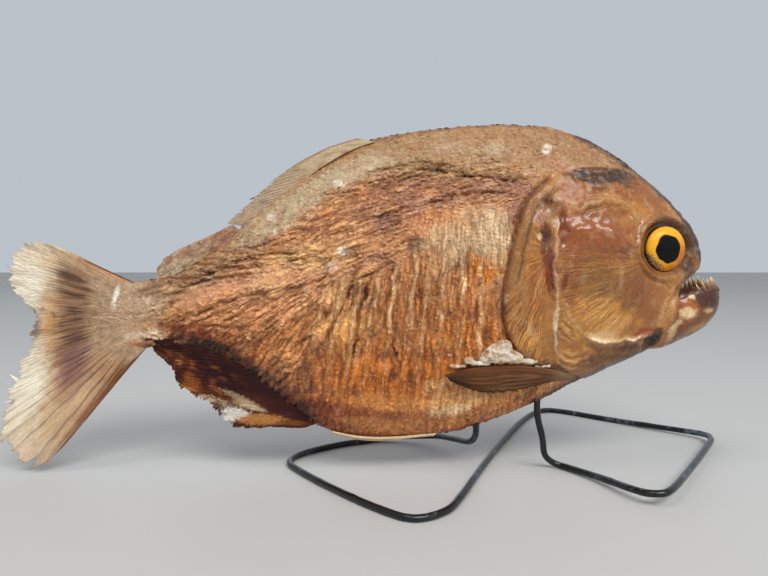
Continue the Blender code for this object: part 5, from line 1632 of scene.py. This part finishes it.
toothShapes = []
for kind, seat, up in (("lower", lowerSeat, 1.0), ("upper", upperSeat, -1.0)):
    for index, (t, height) in enumerate(teethSet[kind]):
        for side in (-1, 1):
            tooth = primitive(f"tooth_{kind}_{index}_{side}", "cone", vertices=10, radius1=1.0,
                radius2=0.05, depth=1.0)
            bpy.ops.object.mode_set(mode="EDIT")
            bpy.ops.mesh.select_all(action="SELECT")
            bpy.ops.mesh.subdivide(number_cuts=2)
            bpy.ops.object.mode_set(mode="OBJECT")
            shape = points(tooth)
            riseUp = shape[:, 2] + 0.5
            here, there = seat(t), seat(t + 0.15)
            heading = math.atan2(side * (there[1] - here[1]), there[0] - here[0])
            alongJaw = np.array((math.cos(heading), math.sin(heading), 0))
            out = np.array((-math.sin(heading), math.cos(heading), 0)) * side
            swell = 1 + 0.35 * np.sin(math.pi * riseUp) * (1 - riseUp)
            base = here * np.array((1, side, 1))
            wobble = 0.25 * math.sin(5.1 * index + 2 * side)
            shaped = (base + np.outer(shape[:, 0] * teethSet["width"] * swell, alongJaw)
                      + np.outer(shape[:, 1] * teethSet["depth"] * swell, out)
                      + np.outer(riseUp, (-1.3 + 2 * wobble, 0.1 * side, 0))
                      + np.outer(-teethSet["sunk"] + riseUp * (height + teethSet["sunk"]), (0, 0, up)))
            place(tooth, toFrame(shaped))
            faceOutward(tooth)
            seen = riseUp * (height + teethSet["sunk"]) - teethSet["sunk"]
            store(tooth, "rise", np.clip(seen / height, 0, 1))
            toothShapes.append(tooth)
teeth = joinPieces("teeth", toothShapes)
finishPiece(teeth, toothFinish, "tooth")


wireStand = {"radius": 1.0, "rings": 620, "sides": 18, "steps": 2000, "lumps": 0.07, "black": "#0b0c0e",
    "worn": "#59646a"}
wireRoute = [
    (47.6, 0, 28), (47.6, 0, 24), (47.8, 0.2, 18), (49.6, 0.9, 11), (51, 3, 4.8), (54.4, 4.2, 1.7),
    (57.9, 1.6, 1.2), (64.3, -8.9, 1.8), (69.2, -21.4, 3), (72.8, -26, 3.7), (78.2, -24.1, 4),
    (92, -6.9, 3.6), (111, 18.2, 3), (117, 27.6, 2.6), (117.4, 35, 2.2), (104.4, 48.1, 1.5), (89.9, 61.6, 1),
    (75.4, 73.4, 1), (66.8, 72.4, 1), (56.2, 57, 1), (44.6, 33.6, 1), (30, -0.1, 1), (21.8, -20.1, 1),
    (16.2, -30.6, 1), (7.8, -35.2, 1), (-0.6, -30, 1), (-13.6, -16.4, 1), (-25.6, -1.6, 1), (-30.6, 7.4, 1),
    (-27.6, 15.8, 1), (-18.8, 23.8, 1), (-9, 29.2, 1), (4, 32.4, 1.6), (17.6, 26.6, 3.9), (23.6, 14, 6.6),
    (27, 4.4, 8.6), (28.5, 0.8, 11.4), (28.7, 0, 15), (28.7, 0, 20.6),
]
wire = primitive("bent_wire", "uv_sphere", segments=wireStand["sides"], ring_count=wireStand["rings"],
    radius=1.0)
ringOf, aroundWire, poles = ballGrid(wire)
route = smoothLine(wireRoute, 1400)
route[:, 2] = np.maximum(route[:, 2], wireStand["radius"])
travelled = np.concatenate(([0.0], np.cumsum(np.linalg.norm(np.diff(route, axis=0), axis=1))))
stops = np.linspace(0, 1, wireStand["steps"] + 1) * travelled[-1]
middle = rowsAt(stops, travelled, route)
heading = np.gradient(middle, axis=0)
heading /= np.linalg.norm(heading, axis=1)[:, None]
sideways = np.zeros_like(middle)
sideways[0] = (0, 1, 0)
for i in range(1, len(middle)):
    carried = sideways[i - 1] - heading[i] * (sideways[i - 1] @ heading[i])
    sideways[i] = carried / np.linalg.norm(carried)
upward = np.cross(heading, sideways)
at = np.clip(np.round(ringOf * wireStand["steps"]).astype(int), 0, wireStand["steps"])
lump = 0.6 * noise(stops[at] / 4.0, aroundWire, 701) + 0.5 * noise(stops[at] / 1.7, 1.5 * aroundWire, 702)
lump += 1.2 * smoothStep(noise(stops[at] / 6.0, 0.5, 703), 0.45, 0.9)
girthHere = np.where(poles, 0.0, wireStand["radius"] + wireStand["lumps"] * lump)
shaped = middle[at] + girthHere[:, None] * (np.cos(aroundWire)[:, None] * sideways[at]
    + np.sin(aroundWire)[:, None] * upward[at])
shaped[:, 2] = np.maximum(shaped[:, 2], 0.0)
place(wire, toFrame(shaped))
faceOutward(wire)
# Steel wire brushed with black enamel: glossy and lumpy, scuffed to grey where it has been handled.
wireFinish, tree, shader = startMaterial(
    "brushedBlackEnamel", IOR=1.4, Metallic=0.0, Coat_Weight=0.25, Coat_Roughness=0.12)
spot = addNode("TexCoord", output="Object")
scuff = addNode("TexNoise", spot, 520.0, 4.0, 0.65)
product = addNode("Math", scuff, addNode("TexNoise", spot, 90.0, 2.0), operation="MULTIPLY")
wornShare = addNode("MapRange", product, 0.31, 0.39, None, 0.8)
feed("Base Color", addNode("Mix", wornShare, paint(wireStand["black"]), paint(wireStand["worn"]),
    **mixColour))
feed("Roughness", addNode("MapRange", wornShare, None, None, 0.28, 0.62))
feed("Normal", addNode("Bump", 0.5, 0.00012, None, scuff))
finishPiece(wire, wireFinish, "black_wire", "wire_stand")


# Lumps of white filler that hold the pectoral fins: x, z, radius along, radius up, how far out.
fillerLumps = [
    (33.6, 39.6, 4.2, 3.3, 1.5), (30.2, 38.4, 2.6, 1.9, 1.2), (37.6, 38.2, 3, 2.2, 1),
    (34.6, 42.2, 2.4, 1.5, 1.1), (24.8, 37.2, 1.7, 1.1, 1.1), (28, 36.3, 3, 0.8, 1),
    (21.4, 35.6, 2.8, 0.6, 0.8), (42, 37, 3.2, 1.1, 0.6), (46.5, 35.4, 2.8, 0.7, 0.3),
]
filler = {"voxel": 0.35, "rough": 0.28}
# Plaster filler: chalky, pitted and stained brown by the varnish.
fillerFinish, tree, shader = startMaterial("stainedPlasterFiller", IOR=1.45, Roughness=0.75)
spot = addNode("TexCoord", output="Object")
stain = addNode("TexNoise", spot, 330.0, 4.0, 0.7)
feed("Base Color", addNode("ValToRGB", stain, stops=[
    (0.34, "#8a5a36"), (0.45, "#b08f6c"), (0.56, "#cdbfab"), (0.78, "#ddd4c6")]))
feed("Normal", addNode("Bump", 0.7, 0.0002, None, addNode("TexVoronoi", spot, 1500.0)))
for side, word in sides:
    lumpShapes = []
    for index, (x, z, rx, rz, out) in enumerate(fillerLumps):
        if side > 0 and index in (3, 4):
            continue
        drop = 0.0 if side < 0 else -0.8
        lump = primitive(f"lump_{word}_{index}", "ico_sphere", subdivisions=4, radius=1.0)
        shape = points(lump)
        y = side * (halfWidthAt(np.array([x]), np.array([z]))[0] - 0.2)
        place(lump, toFrame(np.column_stack((
            x + rx * shape[:, 0], y + (out + 0.6) * shape[:, 1], z + drop + rz * shape[:, 2]))))
        lumpShapes.append(lump)
    plaster = joinPieces(f"filler_{word}", lumpShapes)
    applyModifier(plaster, "REMESH", mode="VOXEL", voxel_size=filler["voxel"] / 1000)
    applyModifier(plaster, "SMOOTH", factor=0.5, iterations=4)
    fish, outward = toFish(points(plaster)), normals(plaster)
    rough = 1.2 * noise(fish[:, 0] / 1.6, fish[:, 2] / 1.4, 801) \
        + 0.7 * noise(fish[:, 0] / 0.8, fish[:, 2] / 0.8, 802)
    place(plaster, toFrame(fish + filler["rough"] * rough[:, None] * outward))
    finishPiece(plaster, fillerFinish, "filler")

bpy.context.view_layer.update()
say("finished")
